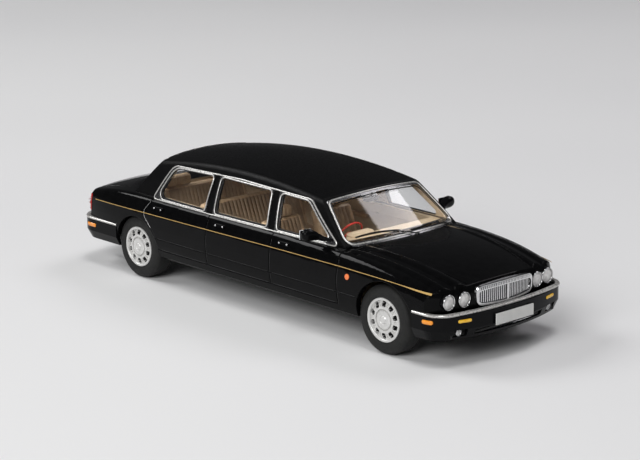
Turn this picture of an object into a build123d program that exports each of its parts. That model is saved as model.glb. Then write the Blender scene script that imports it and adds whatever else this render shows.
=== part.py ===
"""A 1:43 scale model of a six-door stretch limousine, put together as such display models are:
a cast body shell on a base plate, a separate cabin tub with seats, clear panes, bright trim,
and two steel axles with pressed-on wheels that turn in bearings on the base plate.

Frame: +X to the car's front, +Y to its left, +Z up. The origin is on the ground under the middle
of the length and width. Lengths are in millimetres at the model's own size.
"""
from build123d import *
import math
import os

# Overall sizes. A place written as "ahead" is a distance in front of the front axle.
wheelbase = 86.8
front_overhang = 20.6
rear_overhang = 26.3
length = front_overhang + wheelbase + rear_overhang
front_axle_x = length / 2 - front_overhang
rear_axle_x = front_axle_x - wheelbase
axle_z = 7.86

# Walls, panes and gaps
body_wall = 1.3
cabin_wall = 1.0
lodge_gap = 0.1
pane_thickness = 0.6
pane_inset = 0.3
least_radius = 0.3
groove_width = 0.25
groove_depth = 0.25
trim_proud = 0.14
trim_sink = 0.2

# Wheels, axles and their bearings
tyre_width = 5.2
rim_r = 5.0
rim_width = 4.4
wheel_face_y = 20.0
axle_r = 0.9
bearing_gap = 0.05
bearing_width = 3.0
bearing_length = 4.4
wheel_clearance = 0.7
slot_count = 10
slot_middle_r = 3.62
slot_size = (0.75, 1.0)
tyre_face_inset = 0.05

# Body stations along X. Columns: ahead, half width at the waist, waist height, height of the middle of the top,
# shoulder radius, lean of the upper flank from upright in degrees, slope of the crown at the shoulder in degrees
lower_stations = [
    (-111.0, 18.6, 14.4, 19.1, 1.8, 14, 7),
    (-105.3, 19.9, 14.4, 20.4, 1.8, 16, 7),
    (-97.0, 20.6, 14.2, 21.7, 1.8, 18, 7),
    (-86.7, 20.8, 14.0, 22.1, 1.9, 20, 7),
    (-69.8, 20.9, 14.0, 21.9, 1.9, 20, 6),
    (-43.0, 20.9, 14.0, 21.9, 1.9, 20, 6),
    (-16.3, 20.9, 14.0, 21.8, 1.9, 19, 8),
    (0.0, 20.8, 14.0, 20.9, 2.2, 17, 9),
    (10.5, 20.3, 13.6, 19.1, 2.4, 15, 10),
    (20.2, 19.3, 13.0, 16.5, 2.5, 14, 12),
]
sill_z = 7.0
tuck_r = 22.0

# Cabin stations along X. Columns: ahead, half width at the waist
cabin_stations = [
    (-6.0, 17.8), (-21.6, 19.0), (-38.6, 19.4), (-53.0, 19.45), (-69.0, 19.35), (-85.0, 18.9), (-98.0, 17.8),
]
cabin_waist_z = 13.0
cabin_shoulder_r = 1.9
cabin_lean = 26
cabin_crown = 9
roof_top_z = 33.2
roof_crest_ahead = -53.0
roof_long_r = 188.0

# Plan outlines: how far the middle reaches, half width, radius of the bow and of the corners
nose_plan = (17.7, 21.2, 60.0, 6.6)
tail_plan = (-109.9, 21.1, 85.0, 5.8)
plate_thickness = 0.3
blade_proud = 0.45
front_bumper_plan = (front_overhang - plate_thickness - 0.1, 20.6, 55.0, 5.0)
rear_bumper_plan = (blade_proud - wheelbase - rear_overhang, 20.6, 75.0, 6.0)
front_blade_plan = (19.6, 20.6, 80.0, 5.0)

# How the body's ends draw back towards the top. Columns: height, how far back at the nose and at the tail
end_profile = [
    (3.0, 0.0, 0.0), (13.0, 0.0, 0.0), (15.5, 0.2, 0.0), (16.8, 0.6, 0.15), (18.0, 1.6, 0.45), (22.0, 7.0, 4.0),
    (40.0, 30.0, 30.0),
]

# Windscreen and rear screen: ahead and height of the lower edge's middle, slope from level, bow in plan
windscreen_plane = (-10.8, 21.5, 37.5, 37.0)
rear_screen_plane = (-92.2, 22.4, 44.0, 50.0)

# Side windows: each row is one window from its lower rear corner round by the top, ahead and height, with corner radii
frame_edge = [(-82.7, 20.5), (-77.0, 29.6), (-52.0, 30.3), (-27.4, 29.6), (-15.4, 20.7)]
frame_radii = [0.6, 3.2, 60.0, 2.5, 0.6]
side_windows = {
    "rear": ([(-80.6, 21.2), (-76.0, 28.9), (-61.2, 29.4), (-62.2, 21.2)], [1.2, 3.0, 0.5, 0.5]),
    "middle": ([(-58.4, 21.2), (-58.3, 29.5), (-40.5, 29.3), (-39.7, 21.3)], [0.5, 0.5, 0.5, 0.5]),
    "front": ([(-36.2, 21.3), (-37.2, 29.2), (-28.2, 28.9), (-18.1, 21.3)], [0.5, 0.5, 2.2, 0.8]),
}
pillar_strips = [
    [(-61.5, 20.0), (-60.5, 32.0), (-59.0, 32.0), (-59.1, 20.0)],
    [(-39.0, 20.0), (-39.9, 32.0), (-38.1, 32.0), (-36.9, 20.0)],
]

# Screens seen from the front: half width and height at the lower corner, the lower middle, the upper corner and the
# upper middle, and the corner radius, for the trim's outer edge and for the pane
windscreen_frame = ((17.3, 20.9), 21.5, (14.4, 29.5), 30.5, 1.4)
windscreen_pane = ((16.7, 21.5), 22.1, (13.95, 28.9), 29.9, 1.0)
rear_screen_frame = ((15.6, 22.3), 22.9, (13.2, 29.9), 30.9, 2.0)
rear_screen_pane = ((15.1, 22.8), 23.4, (12.8, 29.4), 30.4, 1.6)

# Wheel arches: how far the centre is ahead of its axle, height of the centre, radius
front_arch = (0.7, 8.0, 8.75)
rear_arch = (0.2, 7.35, 8.4)

# Shut lines across the sides, given by their place ahead, and the rear door's trailing edge as ahead and height
door_lines = [-13.9, -36.5, -59.4]
rear_door_edge = [(-81.4, 20.4), (-83.6, 18.0), (-83.4, 16.5), (-80.2, 13.6), (-78.3, 11.3)]
door_bottom_z = 8.8
bonnet_lines = [[(15.5, 9.9), (-12.2, 14.9)], [(-94.6, 15.2), (-109.6, 15.8)]]

# The crease along the doors above the sill panel
strip_ahead = (-79.5, -7.3)
strip_z = 11.5
strip_width = 0.2

# Lamps: half the distance between a pair, height, lens radius, how deep the lens stands behind the nose
lamp_rows = [(11.6, 14.25, 1.55, 1.6), (15.75, 14.25, 1.55, 2.2)]
lamp_rim = 0.25
lamp_depth = 2.2
shell_room_ahead = (-107.7, 13.2)

# Ridges that run back from the lamps over the wings and the bonnet. Columns: half the distance apart at the nose and
# at the screen, crest radius, how far the crest stands above the panel at each of the last four body stations
ridge_rows = [
    (15.75, 16.4, 2.3, (-0.1, 0.3, 0.45, 0.5)),
    (11.6, 13.4, 2.6, (-0.1, 0.35, 0.45, 0.3)),
]

# Grille: half width, heights at its corners, how much its upper and lower edges bow, bow of its face in plan
grille_half = 9.1
grille_taper = 0.4
grille_bottom_z = 12.5
grille_top_z = 16.55
grille_arch = 0.5
grille_dip = 0.35
grille_bow_r = 38.0
grille_corner_r = 1.6
grille_rim = 0.5
grille_depth = 2.4
grille_proud = 0.75
slat_recess = 0.35
slat_count = 14
slat_width = 0.24
grille_top_bar = 1.0
grille_rib = 0.6
panel_depth = 0.6

# Bumpers
bumper_top_z = 11.7
bumper_bottom_z = 6.2
rear_bumper_bottom_z = 6.6
bumper_wall = 1.3
bumper_side_ahead = (9.2, -94.8)
blade_height = 0.55
blade_width = 1.0
blade_lap = 0.1
blade_chamfer = 0.12
bumper_draw = 1.1

# Cabin fittings
tub_front_ahead = -12.6
tub_rear_ahead = -91.4
tub_floor_z = 7.9
tub_top_z = 20.9
tub_step_ahead = -76.5
tub_step_z = 11.4
column_length = 2.3
inside_mirror_place = (-24.4, 27.4)
wiper_lift = 0.25

# Base plate and the plinth screw holes
base_bottom_z = 5.9
base_top_z = 6.8
base_front_ahead = 15.0
base_rear_ahead = -108.2
base_corner_r = 2.0
bearing_y = 8.0
bearing_wall = 1.0
screw_ahead = (7.0, -97.0)
screw_boss_height = 4.3
screw_hole_depth = 3.8
screw_hole_r = 0.8
screw_boss_r = 2.2

# Cabin pieces
dash_ahead = (-21.0, -14.2)
dash_top_z = 21.3
driver_y = -8.0
wheel_middle = (-23.4, 20.2)
wheel_ring_r = 3.7
wheel_ring_section_r = 0.32
wheel_tilt = 62

# Seats. Columns: middles and widths across, ahead of the cushion's front, heights of the cushion's underside and top,
# ahead of the backrest's foot and head, height of its top, then the headrests' places across, width and top
seat_rows = {
    "front_seats": ([(-8.0, 11.5), (8.0, 11.5)], -31.5, (8.6, 12.6), (-41.5, -45.5), 20.4, ([0.0], 6.2, 23.2)),
    "middle_bench": ([(0.0, 30.5)], -52.0, (8.6, 12.6), (-62.0, -66.0), 21.3, ([], 0, 0)),
    "rear_bench": ([(0.0, 25.6)], -72.0, (11.5, 14.0), (-81.4, -84.4), 21.6, ([-8.0, 8.0], 8.0, 24.4)),
}
seat_back_thickness = 3.4
headrest_thickness = 2.4

# Lamps and markers set in the body, each as limits ahead, in y and in z
tail_lamp_box = ((-130, -105.9), (13.6, 30), (13.9, 18.0))
front_marker_boxes = [((12.6, 15.2), (15.0, 30), (10.1, 11.0)), ((15.0, 30), (12.0, 15.2), (10.1, 10.8))]
rear_marker_boxes = [((-106.9, -103.3), (15.0, 30), (9.8, 10.9))]
marker_depth = 0.5
marker_proud = 0.1
tail_lamp_depth = 0.9
tail_lamp_proud = 0.1
repeater_place = (-10.4, 15.75)
repeater_r = 0.65
lens_rise = 0.5
lens_edge = 0.05
intake_box = ((10, 30), (-10.6, 10.6), (6.9, 8.2))
fog_lamp_box = ((10, 30), (12.6, 16.2), (6.9, 8.6))

# Number plates: ahead of the plate's middle, height of its middle, width and height
plate_places = [
    (front_overhang - plate_thickness / 2, 9.55, 11.8, 2.5),
    (tail_plan[0] - plate_thickness / 2, 14.9, 12.1, 2.6),
]

# Door handles: places ahead and height, size along, out and up
handle_places = [-32.0, -54.6, -78.0]
handle_z = 19.1
handle_size = (3.4, 0.45, 0.65)

# Door mirrors: place of the housing's middle, and its size ahead, across and up
mirror_middle = (-21.5, 22.1, 23.45)
mirror_size = (2.6, 4.2, 2.9)
mirror_arm_plan = [(-19.4, 16.6), (-17.4, 16.6), (-20.3, 21.6), (-22.0, 21.6)]
mirror_arm_drop = 1.4
mirror_arm_height = 0.8

# Wipers: the spindle and the blade's inner and outer ends, as ahead and y
wiper_rows = [
    ((-10.2, 0.9), (-12.2, -2.4), (-14.1, -14.0)),
    ((-12.6, 14.0), (-13.6, 11.4), (-11.6, 0.2)),
]
wiper_r = 0.2
spindle_r = 0.5
spindle_height = 0.55

# Exhaust tips
exhaust_y = 12.8
exhaust_r = 0.75
exhaust_wall = 0.25
exhaust_bore = 4.0
exhaust_ahead = (-111.7, -103.0)
exhaust_z = 4.95


def flank_radius(half, waist_z, top, shoulder, lean, crown):
    """The radius of the upper flank, from the width and height that the shoulder leaves. Angles in radians."""
    width = half - shoulder * (math.cos(lean) - math.sin(crown))
    rise = top - waist_z - shoulder * (math.cos(crown) - math.sin(lean))
    det = math.sin(crown) * math.sin(lean) - (1 - math.cos(lean)) * (1 - math.cos(crown))
    return (math.sin(crown) * rise - (1 - math.cos(crown)) * width) / det


def section(x, half_width, waist_z, top_z, shoulder_r, lean, crown, bottom_z, inset):
    """A closed section across the car, its arcs tangent from the lower flank over the shoulder to the crown."""
    lean, crown = math.radians(lean), math.radians(crown)
    half, top = half_width - inset, top_z - inset
    shoulder = max(shoulder_r - inset, least_radius)
    flank_r = flank_radius(half, waist_z, top, shoulder, lean, crown)
    tuck = tuck_r - inset

    def on(cy, cz, r, angle):
        return Vector(x, cy + r * math.cos(angle), cz + r * math.sin(angle))

    flank_end = on(half - flank_r, waist_z, flank_r, lean)
    shoulder_y = flank_end.Y - shoulder * math.cos(lean)
    shoulder_z = flank_end.Z - shoulder * math.sin(lean)
    drop = -math.asin((waist_z - bottom_z) / tuck)
    arcs = [
        (half - tuck, waist_z, tuck, drop, 0.0),
        (half - flank_r, waist_z, flank_r, 0.0, lean),
        (shoulder_y, shoulder_z, shoulder, lean, math.pi / 2 - crown),
    ]
    left = [[on(cy, cz, r, a + (b - a) * t) for t in (0.0, 0.5, 1.0)] for cy, cz, r, a, b in arcs]
    right = [[Vector(p.X, -p.Y, p.Z) for p in reversed(points)] for points in reversed(left)]
    middle = [[left[-1][2], Vector(x, 0, top), right[0][0]]]
    edges = [Edge.make_three_point_arc(*points) for points in left + middle + right]
    edges.append(Edge.make_line(right[-1][2], left[0][0]))
    return Wire(edges)


def plan_face(nose, tail, z=0.0, inset=0.0):
    """The car's outline from above between a bowed nose and a bowed tail, each with rounded corners."""
    ends = []
    for (ahead, half, bow_r, corner_r), facing in ((nose, 1), (tail, -1)):
        middle = front_axle_x + ahead - facing * inset
        half = half - inset
        back = middle - facing * (bow_r - math.sqrt(bow_r**2 - half**2))
        ends.append((middle, half, back, corner_r - inset))
    (nose_x, nose_half, nose_back, nose_r), (tail_x, tail_half, tail_back, tail_r) = ends
    outline = Wire([
        Edge.make_three_point_arc((nose_back, -nose_half, z), (nose_x, 0, z), (nose_back, nose_half, z)),
        Edge.make_line((nose_back, nose_half, z), (tail_back, tail_half, z)),
        Edge.make_three_point_arc((tail_back, tail_half, z), (tail_x, 0, z), (tail_back, -tail_half, z)),
        Edge.make_line((tail_back, -tail_half, z), (nose_back, -nose_half, z)),
    ])
    face = Face(outline)
    for x, r in ((nose_back, nose_r), (tail_back, tail_r)):
        corners = [v for v in face.vertices() if abs(v.X - x) < 0.01]
        face = face.fillet_2d(r, corners)
    return face


def panel_z(station, y):
    """The height of the bonnet or boot panel at y in one of the body stations."""
    ahead, half, waist_z, top, shoulder, lean, crown = station
    lean, crown = math.radians(lean), math.radians(crown)
    flank_r = flank_radius(half, waist_z, top, shoulder, lean, crown)
    edge_y = half - flank_r * (1 - math.cos(lean)) - shoulder * (math.cos(lean) - math.sin(crown))
    crown_r = edge_y / math.sin(crown)
    return top - crown_r + math.sqrt(crown_r**2 - y**2)


def body_loft(inset=0.0, bottom_z=sill_z):
    """The body up to the waistline, run on past its nose and tail."""
    wires = [section(front_axle_x + row[0], *row[1:], bottom_z, inset) for row in lower_stations]
    return Solid.make_loft(wires)


def lower_body(inset=0.0, bottom_z=sill_z):
    """The body up to the waistline with its bonnet and boot, between the nose and the tail."""
    return layers.get(body_loft, inset, bottom_z) & end_form(-inset)


def end_form(grow=0.0):
    """The body's plan outline at each height, drawn back towards the top of the nose and the tail."""
    wires = []
    for z, nose_back, tail_back in end_profile:
        nose = (nose_plan[0] - nose_back, *nose_plan[1:])
        tail = (tail_plan[0] + tail_back, *tail_plan[1:])
        wires.append(plan_face(nose, tail, z, -grow).outer_wire())
    return Solid.make_loft(wires, ruled=True)


def screen_block(plane, facing, inset=0.0):
    """Everything behind a bowed, sloping screen. facing is 1 for the windscreen and -1 for the rear screen."""
    ahead, base_z, slope, bow_r = plane
    slope = math.radians(slope)
    low_z, reach, half, rise = 15.0, 95.0, 24.0, 32.0
    x = front_axle_x + ahead + facing * ((base_z - low_z) / math.tan(slope) - inset / math.sin(slope))
    side_x = x - facing * (bow_r - math.sqrt(bow_r**2 - half**2))
    far_x = x - facing * reach
    outline = Wire([
        Edge.make_three_point_arc((side_x, -half, low_z), (x, 0, low_z), (side_x, half, low_z)),
        Edge.make_line((side_x, half, low_z), (far_x, half, low_z)),
        Edge.make_line((far_x, half, low_z), (far_x, -half, low_z)),
        Edge.make_line((far_x, -half, low_z), (side_x, -half, low_z)),
    ])
    return extrude(Face(outline), rise, dir=Vector(-facing * math.cos(slope), 0, math.sin(slope)))


def cabin_body(inset=0.0):
    """The roof, pillars and screens above the waistline."""
    wires = []
    for ahead, half_width in cabin_stations:
        top_z = roof_top_z - (ahead - roof_crest_ahead) ** 2 / (2 * roof_long_r)
        wires.append(section(front_axle_x + ahead, half_width, cabin_waist_z, top_z, cabin_shoulder_r, cabin_lean,
                             cabin_crown, cabin_waist_z - 1, inset))
    cabin = Solid.make_loft(wires) & screen_block(windscreen_plane, 1, inset)
    return cabin & screen_block(rear_screen_plane, -1, inset)


def block(ahead, y, z, both=False):
    """A box from its limits ahead, in y and in z. both adds its mirror image."""
    size = (ahead[1] - ahead[0], y[1] - y[0], z[1] - z[0])
    middle = (front_axle_x + sum(ahead) / 2, sum(y) / 2, sum(z) / 2)
    shape = Pos(*middle) * Box(*size)
    return shape + mirror(shape, Plane.XZ) if both else shape


def side_prism(points, radii=None, y=(-30.0, 30.0)):
    """An outline given as ahead and height, made into a prism across the car."""
    face = Face(Wire.make_polygon([(front_axle_x + ahead, y[0], z) for ahead, z in points], close=True))
    if radii:
        for (ahead, z), r in zip(points, radii):
            corner = [v for v in face.vertices() if abs(v.X - front_axle_x - ahead) + abs(v.Z - z) < 0.01]
            face = face.fillet_2d(r, corner)
    return extrude(face, y[1] - y[0], dir=(0, 1, 0))


def screen_prism(outline, ahead):
    """A screen's outline seen from the front, with bowed upper and lower edges, made into a prism along X."""
    (low_y, low_z), low_middle, (high_y, high_z), high_middle, corner_r = outline
    x = front_axle_x + ahead[0]
    face = Face(Wire([
        Edge.make_three_point_arc((x, -low_y, low_z), (x, 0, low_middle), (x, low_y, low_z)),
        Edge.make_line((x, low_y, low_z), (x, high_y, high_z)),
        Edge.make_three_point_arc((x, high_y, high_z), (x, 0, high_middle), (x, -high_y, high_z)),
        Edge.make_line((x, -high_y, high_z), (x, -low_y, low_z)),
    ]))
    face = face.fillet_2d(corner_r, face.vertices())
    return extrude(face, ahead[1] - ahead[0], dir=(1, 0, 0))


def across(x, y, z, r, depth):
    """A cylinder along Y from y over depth, which may be negative."""
    return Pos(x, y + depth / 2, z) * Rot(90, 0, 0) * Cylinder(r, abs(depth))


def facing_front(x, y, z):
    """A plane across the car, its own x along the car's left."""
    return Plane(origin=(x, y, z), x_dir=(0, 1, 0), z_dir=(1, 0, 0))


def both_sides(shape):
    return shape + mirror(shape, Plane.XZ)


class Layers:
    """The cabin and lower body at the depths that panes, trim and grooves are cut to, each made once."""

    def __init__(self):
        self.kept = {}

    def get(self, make, inset, *rest):
        key = (make.__name__, round(inset, 4)) + rest
        if key not in self.kept:
            self.kept[key] = make(inset, *rest)
        return self.kept[key]

    def skin(self, make, outer, inner):
        return self.get(make, outer) - self.get(make, inner)


layers = Layers()
windscreen_reach = (-40.0, 0.0)
rear_screen_reach = (-110.0, -68.0)


def glass_prisms():
    prisms = {name: side_prism(*row) for name, row in side_windows.items()}
    prisms["windscreen"] = screen_prism(windscreen_pane, windscreen_reach)
    prisms["rear_screen"] = screen_prism(rear_screen_pane, rear_screen_reach)
    return prisms


def trim_prisms():
    frames = side_prism(frame_edge, frame_radii)
    for strip in pillar_strips:
        frames -= side_prism(strip)
    return {
        "window_frames": frames,
        "windscreen_trim": screen_prism(windscreen_frame, windscreen_reach),
        "rear_screen_trim": screen_prism(rear_screen_frame, rear_screen_reach),
    }


def arch_cutter(arch, axle_x):
    """The round opening of one pair of arches, open at the bottom, from outside to behind the wheel."""
    ahead, z, r = arch
    x = axle_x + ahead
    inner_y = wheel_face_y - tyre_width - wheel_clearance
    shape = across(x, inner_y, z, r, 12)
    shape += Pos(x, inner_y + 6, z / 2) * Box(2 * r * 0.96, 12, z)
    return both_sides(shape)


def lamp_seats():
    """Each headlamp's place: x of its lens, y, z and lens radius."""
    nose_x = front_axle_x + nose_plan[0]
    return [(nose_x - back, side * y, z, r) for y, z, r, back in lamp_rows for side in (-1, 1)]


def nose_ridges():
    """The raised forms that run forward over the wings and the bonnet to the four lamps."""
    ridges = None
    for nose_y, screen_y, r, crests in ridge_rows:
        stations = lower_stations[-len(crests):]
        rings = []
        for i, (station, crest) in enumerate(zip(stations, crests)):
            y = screen_y + (nose_y - screen_y) * i / (len(crests) - 1)
            place = (front_axle_x + station[0], y, panel_z(station, y) + crest - r)
            rings.append(Plane(origin=place, z_dir=(1, 0, 0)) * Circle(r))
        ridge = loft(rings)
        ridges = ridge if ridges is None else ridges + ridge
    return both_sides(ridges)


def grille_outline(x, grow, drop):
    """The grille's rounded outline with bowed upper and lower edges, in the plane at x. drop lowers its top."""
    low, high = grille_half - grille_taper + grow, grille_half + grow
    bottom, top = grille_bottom_z - grow, grille_top_z + grow - drop
    face = Face(Wire([
        Edge.make_three_point_arc((x, -low, bottom), (x, 0, bottom - grille_dip), (x, low, bottom)),
        Edge.make_line((x, low, bottom), (x, high, top)),
        Edge.make_three_point_arc((x, high, top), (x, 0, top + grille_arch), (x, -high, top)),
        Edge.make_line((x, -high, top), (x, -low, bottom)),
    ]))
    return face.fillet_2d(grille_corner_r + grow, face.vertices())


def grille_block(grow, front, depth, drop=0.0):
    """The grille's outline given depth, with a bowed front face. front is ahead of the nose."""
    face_x = front_axle_x + nose_plan[0] + front
    prism = extrude(grille_outline(face_x - 8, grow, drop), 16, dir=(1, 0, 0))
    outer = Pos(face_x - grille_bow_r, 0, 15) * Cylinder(grille_bow_r, 20)
    inner = Pos(face_x - grille_bow_r, 0, 15) * Cylinder(grille_bow_r - depth, 20)
    return prism & (outer - inner)


def body_shell():
    """The one-piece casting: wings, doors, bonnet, boot, roof and pillars, open below and at its windows."""
    shell = layers.get(body_loft, 0.0) + layers.get(cabin_body, 0.0) + nose_ridges()
    shell &= end_form()
    room = layers.get(lower_body, body_wall, sill_z - 1.5) & block(shell_room_ahead, (-30, 30), (0, 30))
    shell = shell.cut(room, layers.get(cabin_body, body_wall), *glass_prisms().values())
    seat = layers.skin(cabin_body, -1.0, trim_sink)
    cutters = [prism & seat for prism in trim_prisms().values()]
    cutters += [arch_cutter(front_arch, front_axle_x), arch_cutter(rear_arch, rear_axle_x)]
    cutters += [grille_block(0.0, 3.0, 3.0 + grille_depth), bumper_zone(), tail_lamp_block(-1.0), repeaters(0.0)]
    for x, y, z, r in lamp_seats():
        cutters.append(Pos(x - lamp_depth / 2 + 4, y, z) * Rot(0, 90, 0) * Cylinder(r + lamp_rim, lamp_depth + 8))
    shell = shell.cut(*cutters)
    return shell.cut(*shut_lines()).solid()


def shut_lines():
    """The engraved gaps round the doors, bonnet and boot lid."""
    half = groove_width / 2
    skin = layers.skin(lower_body, -1.0, groove_depth)
    cuts = [block((ahead - half, ahead + half), (-30, 30), (door_bottom_z, 21.2)) for ahead in door_lines]
    cuts.append(block((rear_door_edge[-1][0], door_lines[0]), (-30, 30), (door_bottom_z - half, door_bottom_z + half)))
    back = [(ahead - groove_width, z) for ahead, z in reversed(rear_door_edge)]
    cuts.append(side_prism(rear_door_edge + back))
    cuts.append(block(strip_ahead, (-30, 30), (strip_z, strip_z + strip_width)))
    sides = block((-130, 30), (14.0, 30.0), (0, 21.2), both=True) & cuts[0].fuse(*cuts[1:])
    grooves = [solid for solid in (sides & skin).solids()]
    for points in bonnet_lines:
        strip = extrude(plan_strip(points, groove_width), 40, dir=(0, 0, 1))
        grooves += (both_sides(strip) & skin & block((-130, 30), (-30, 30), (16.0, 40))).solids()
    return grooves


def plan_strip(points, width):
    """A narrow strip along a line seen from above, given as ahead and y."""
    left = [(front_axle_x + ahead, y) for ahead, y in points]
    right = [(front_axle_x + ahead, y + width) for ahead, y in reversed(points)]
    return Face(Wire.make_polygon([(x, y, 0) for x, y in left + right], close=True))


def bumper_zone():
    """What the two bumpers take up at the lower nose and tail."""
    top_z = bumper_top_z + blade_height + lodge_gap
    front = block((bumper_side_ahead[0], 30), (-30, 30), (0, top_z))
    rear = block((-130, bumper_side_ahead[1]), (-30, 30), (0, top_z))
    return front + rear


def tail_lamp_block(outer):
    """A pair of blocks that wrap round the rear corners, from their seat out to a given depth."""
    return layers.skin(lower_body, outer, tail_lamp_depth) & block(*tail_lamp_box, both=True)


def cabin_pane(name):
    return layers.skin(cabin_body, pane_inset, pane_inset + pane_thickness) & glass_prisms()[name]


def side_of(shape, side):
    return shape & Pos(0, side * 15, 20) * Box(200, 30, 40)


def side_glass(side):
    """Three panes in one side's window openings."""
    prisms = glass_prisms()
    skin = side_of(layers.skin(cabin_body, pane_inset, pane_inset + pane_thickness), side)
    panes = [skin & prisms[name] for name in side_windows]
    return Compound(children=[pane.solid() for pane in panes])


def trim(name, side=0):
    """Bright trim that stands a little proud of the cabin and is let into its surface."""
    skin = layers.skin(cabin_body, -trim_proud, trim_sink)
    if side:
        skin = side_of(skin, side)
    strip = skin & trim_prisms()[name]
    for prism in glass_prisms().values():
        strip -= prism
    return strip


def bumper_ahead(front):
    """How far a bumper reaches along the car: from its end beside the wheel arch out past its face."""
    return (bumper_side_ahead[0] + lodge_gap, 30) if front else (-130, bumper_side_ahead[1] - lodge_gap)


def bumper_block(bottom_z, top_z, inset, ahead):
    """A bumper's outer form: upright above and drawn in below, between two places along the car."""
    turn = bottom_z + 0.42 * (top_z - bottom_z)
    plans = [front_bumper_plan, rear_bumper_plan]
    upper = extrude(plan_face(*plans, turn, inset), top_z - turn)
    lower = loft([plan_face(*plans, bottom_z, inset + bumper_draw), plan_face(*plans, turn, inset)])
    return (upper + lower) & block(ahead, (-30, 30), (0, 40))


def bumper(front):
    """A hollow bumper moulding, with an intake and two lamp recesses in the front one."""
    bottom_z = bumper_bottom_z if front else rear_bumper_bottom_z
    shape = bumper_block(bottom_z, bumper_top_z, 0.0, bumper_ahead(front))
    shape -= bumper_block(bottom_z - 1, bumper_top_z - bumper_wall, bumper_wall, (-140, 40))
    if front:
        shape -= block(*intake_box)
        shape -= block(*fog_lamp_box, both=True)
    for box in (front_marker_boxes if front else rear_marker_boxes):
        shape -= bumper_skin(-1.0, marker_depth) & block(*box, both=True)
    return shape


def bumper_skin(outer, inner):
    """A layer of both bumpers' upright faces between two depths."""
    plans = [front_bumper_plan, rear_bumper_plan]
    low, height = 5.0, 8.0
    skin = extrude(plan_face(*plans, low, outer), height)
    return skin - extrude(plan_face(*plans, low, inner), height)


def bumper_blade(front):
    """The bright strip that lies on a bumper's top, with its outer edges rounded."""
    plans = [front_blade_plan, (rear_bumper_plan[0] - blade_lap, *rear_bumper_plan[1:])]
    ring = extrude(plan_face(*plans, bumper_top_z, 0.0), blade_height)
    ring = chamfer(ring.edges().filter_by(Plane.XY), blade_chamfer)
    ring -= extrude(plan_face(*plans, bumper_top_z, blade_width), blade_height)
    return ring & block(bumper_ahead(front), (-30, 30), (0, 40))


def markers(boxes):
    """Coloured lamps let into the bumpers' faces."""
    shapes = [bumper_skin(-marker_proud, marker_depth) & block(*box, both=True) for box in boxes]
    return Compound(children=[solid for shape in shapes for solid in shape.solids()])


def grille_frame():
    """The bright surround with its wide top bar and middle rib."""
    frame = grille_block(0.0, grille_proud, grille_depth + grille_proud)
    hole = grille_block(-grille_rim, grille_proud + 1, grille_depth + grille_proud + 4, grille_top_bar - grille_rim)
    hole -= block((0, 40), (-grille_rib / 2, grille_rib / 2), (0, 40))
    return frame - hole


def grille_slats():
    """A back panel with upright slats on either side of the middle rib, lodged inside the surround."""
    drop = grille_top_bar - grille_rim
    reach = grille_proud - slat_recess
    inside = grille_block(-grille_rim, reach, grille_depth + reach, drop)
    panel = grille_block(-grille_rim, panel_depth - grille_depth, panel_depth, drop)
    pitch = (grille_half - grille_rim - grille_taper - grille_rib / 2) / slat_count
    bars = []
    for side in (-1, 1):
        for i in range(slat_count):
            y = side * (grille_rib / 2 + pitch * (i + 0.6))
            bars.append(block((0, 40), (y - slat_width / 2, y + slat_width / 2), (0, 40)))
    slats = inside & Compound(children=bars)
    panel = panel.fuse(*slats.solids())
    return panel.cut(block((0, 40), (-grille_rib / 2, grille_rib / 2), (0, 40)))


def headlamp_bowls():
    """Bright rims with a dished reflector, one in each seat."""
    bowls = []
    for x, y, z, r in lamp_seats():
        points = [(0, -lamp_depth), (r + lamp_rim, -lamp_depth), (r + lamp_rim, 0.35), (r, 0.45), (r, 0.0)]
        bowls.append(Pos(x, y, z) * lamp_turned(points + [(0, -lamp_depth * 0.7)]))
    return Compound(children=bowls)


def lamp_turned(points):
    """A lamp's profile, given as radius and distance forward, turned about an axis along X."""
    face = Face(Wire.make_polygon([(r, 0, x) for r, x in points], close=True))
    return Rot(0, 90, 0) * revolve(face, Axis.Z, 360).solid()


def headlamp_lenses():
    """Domed clear covers in the rims."""
    lenses = []
    for x, y, z, r in lamp_seats():
        steps = [(r * math.cos(a), lens_rise * math.sin(a)) for a in (0.0, 0.35, 0.75, 1.15)]
        points = [(0, -lens_edge), (r, -lens_edge)] + steps + [(0, lens_rise)]
        lenses.append(Pos(x + lens_edge, y, z) * lamp_turned(points))
    return Compound(children=lenses)


def number_plates():
    """A blank plate on the front bumper and one on the boot lid."""
    plates = []
    for ahead, z, width, height in plate_places:
        plates.append(Pos(front_axle_x + ahead, 0, z) * Box(plate_thickness, width, height))
    return Compound(children=plates)


def wheel_profile():
    """Points of the wheel's section as radius and depth behind its outer face."""
    return [
        (axle_r, 0.35), (0, 0.35), (0, -0.05), (1.05, 0.0), (1.25, 0.22), (2.15, 0.3), (2.25, 0.5), (2.45, 0.5),
        (2.55, 0.28), (3.0, 0.4), (4.2, 0.85), (4.5, 0.3), (rim_r - 0.12, 0.1), (rim_r, 0.25), (rim_r, rim_width),
        (rim_r - 0.45, rim_width), (rim_r - 0.6, 2.0), (2.0, 1.7), (2.0, 3.6), (axle_r, 3.6),
    ]


def turned_y(points, side, face_y=wheel_face_y):
    """A profile given as radius and depth behind the wheel's outer face, turned about an axis along Y."""
    face = Face(Wire.make_polygon([(r, side * (face_y - depth), 0) for r, depth in points], close=True))
    return revolve(face, Axis.Y, 360).solid()


def wheels(axle_x):
    """Two pressed-on wheels with a ring of slots and shallow recesses near the rim."""
    made = []
    for side in (-1, 1):
        wheel = turned_y(wheel_profile(), side)
        for i in range(slot_count):
            turn = Rot(0, 360 / slot_count * (i + 0.5), 0)
            slot = Pos(0, side * (wheel_face_y - 1), slot_middle_r) * Box(slot_size[0], 3.5, slot_size[1])
            wheel -= turn * slot
        made.append(Pos(axle_x, 0, axle_z) * wheel)
    return Compound(children=[wheel.solid() for wheel in made])


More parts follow.
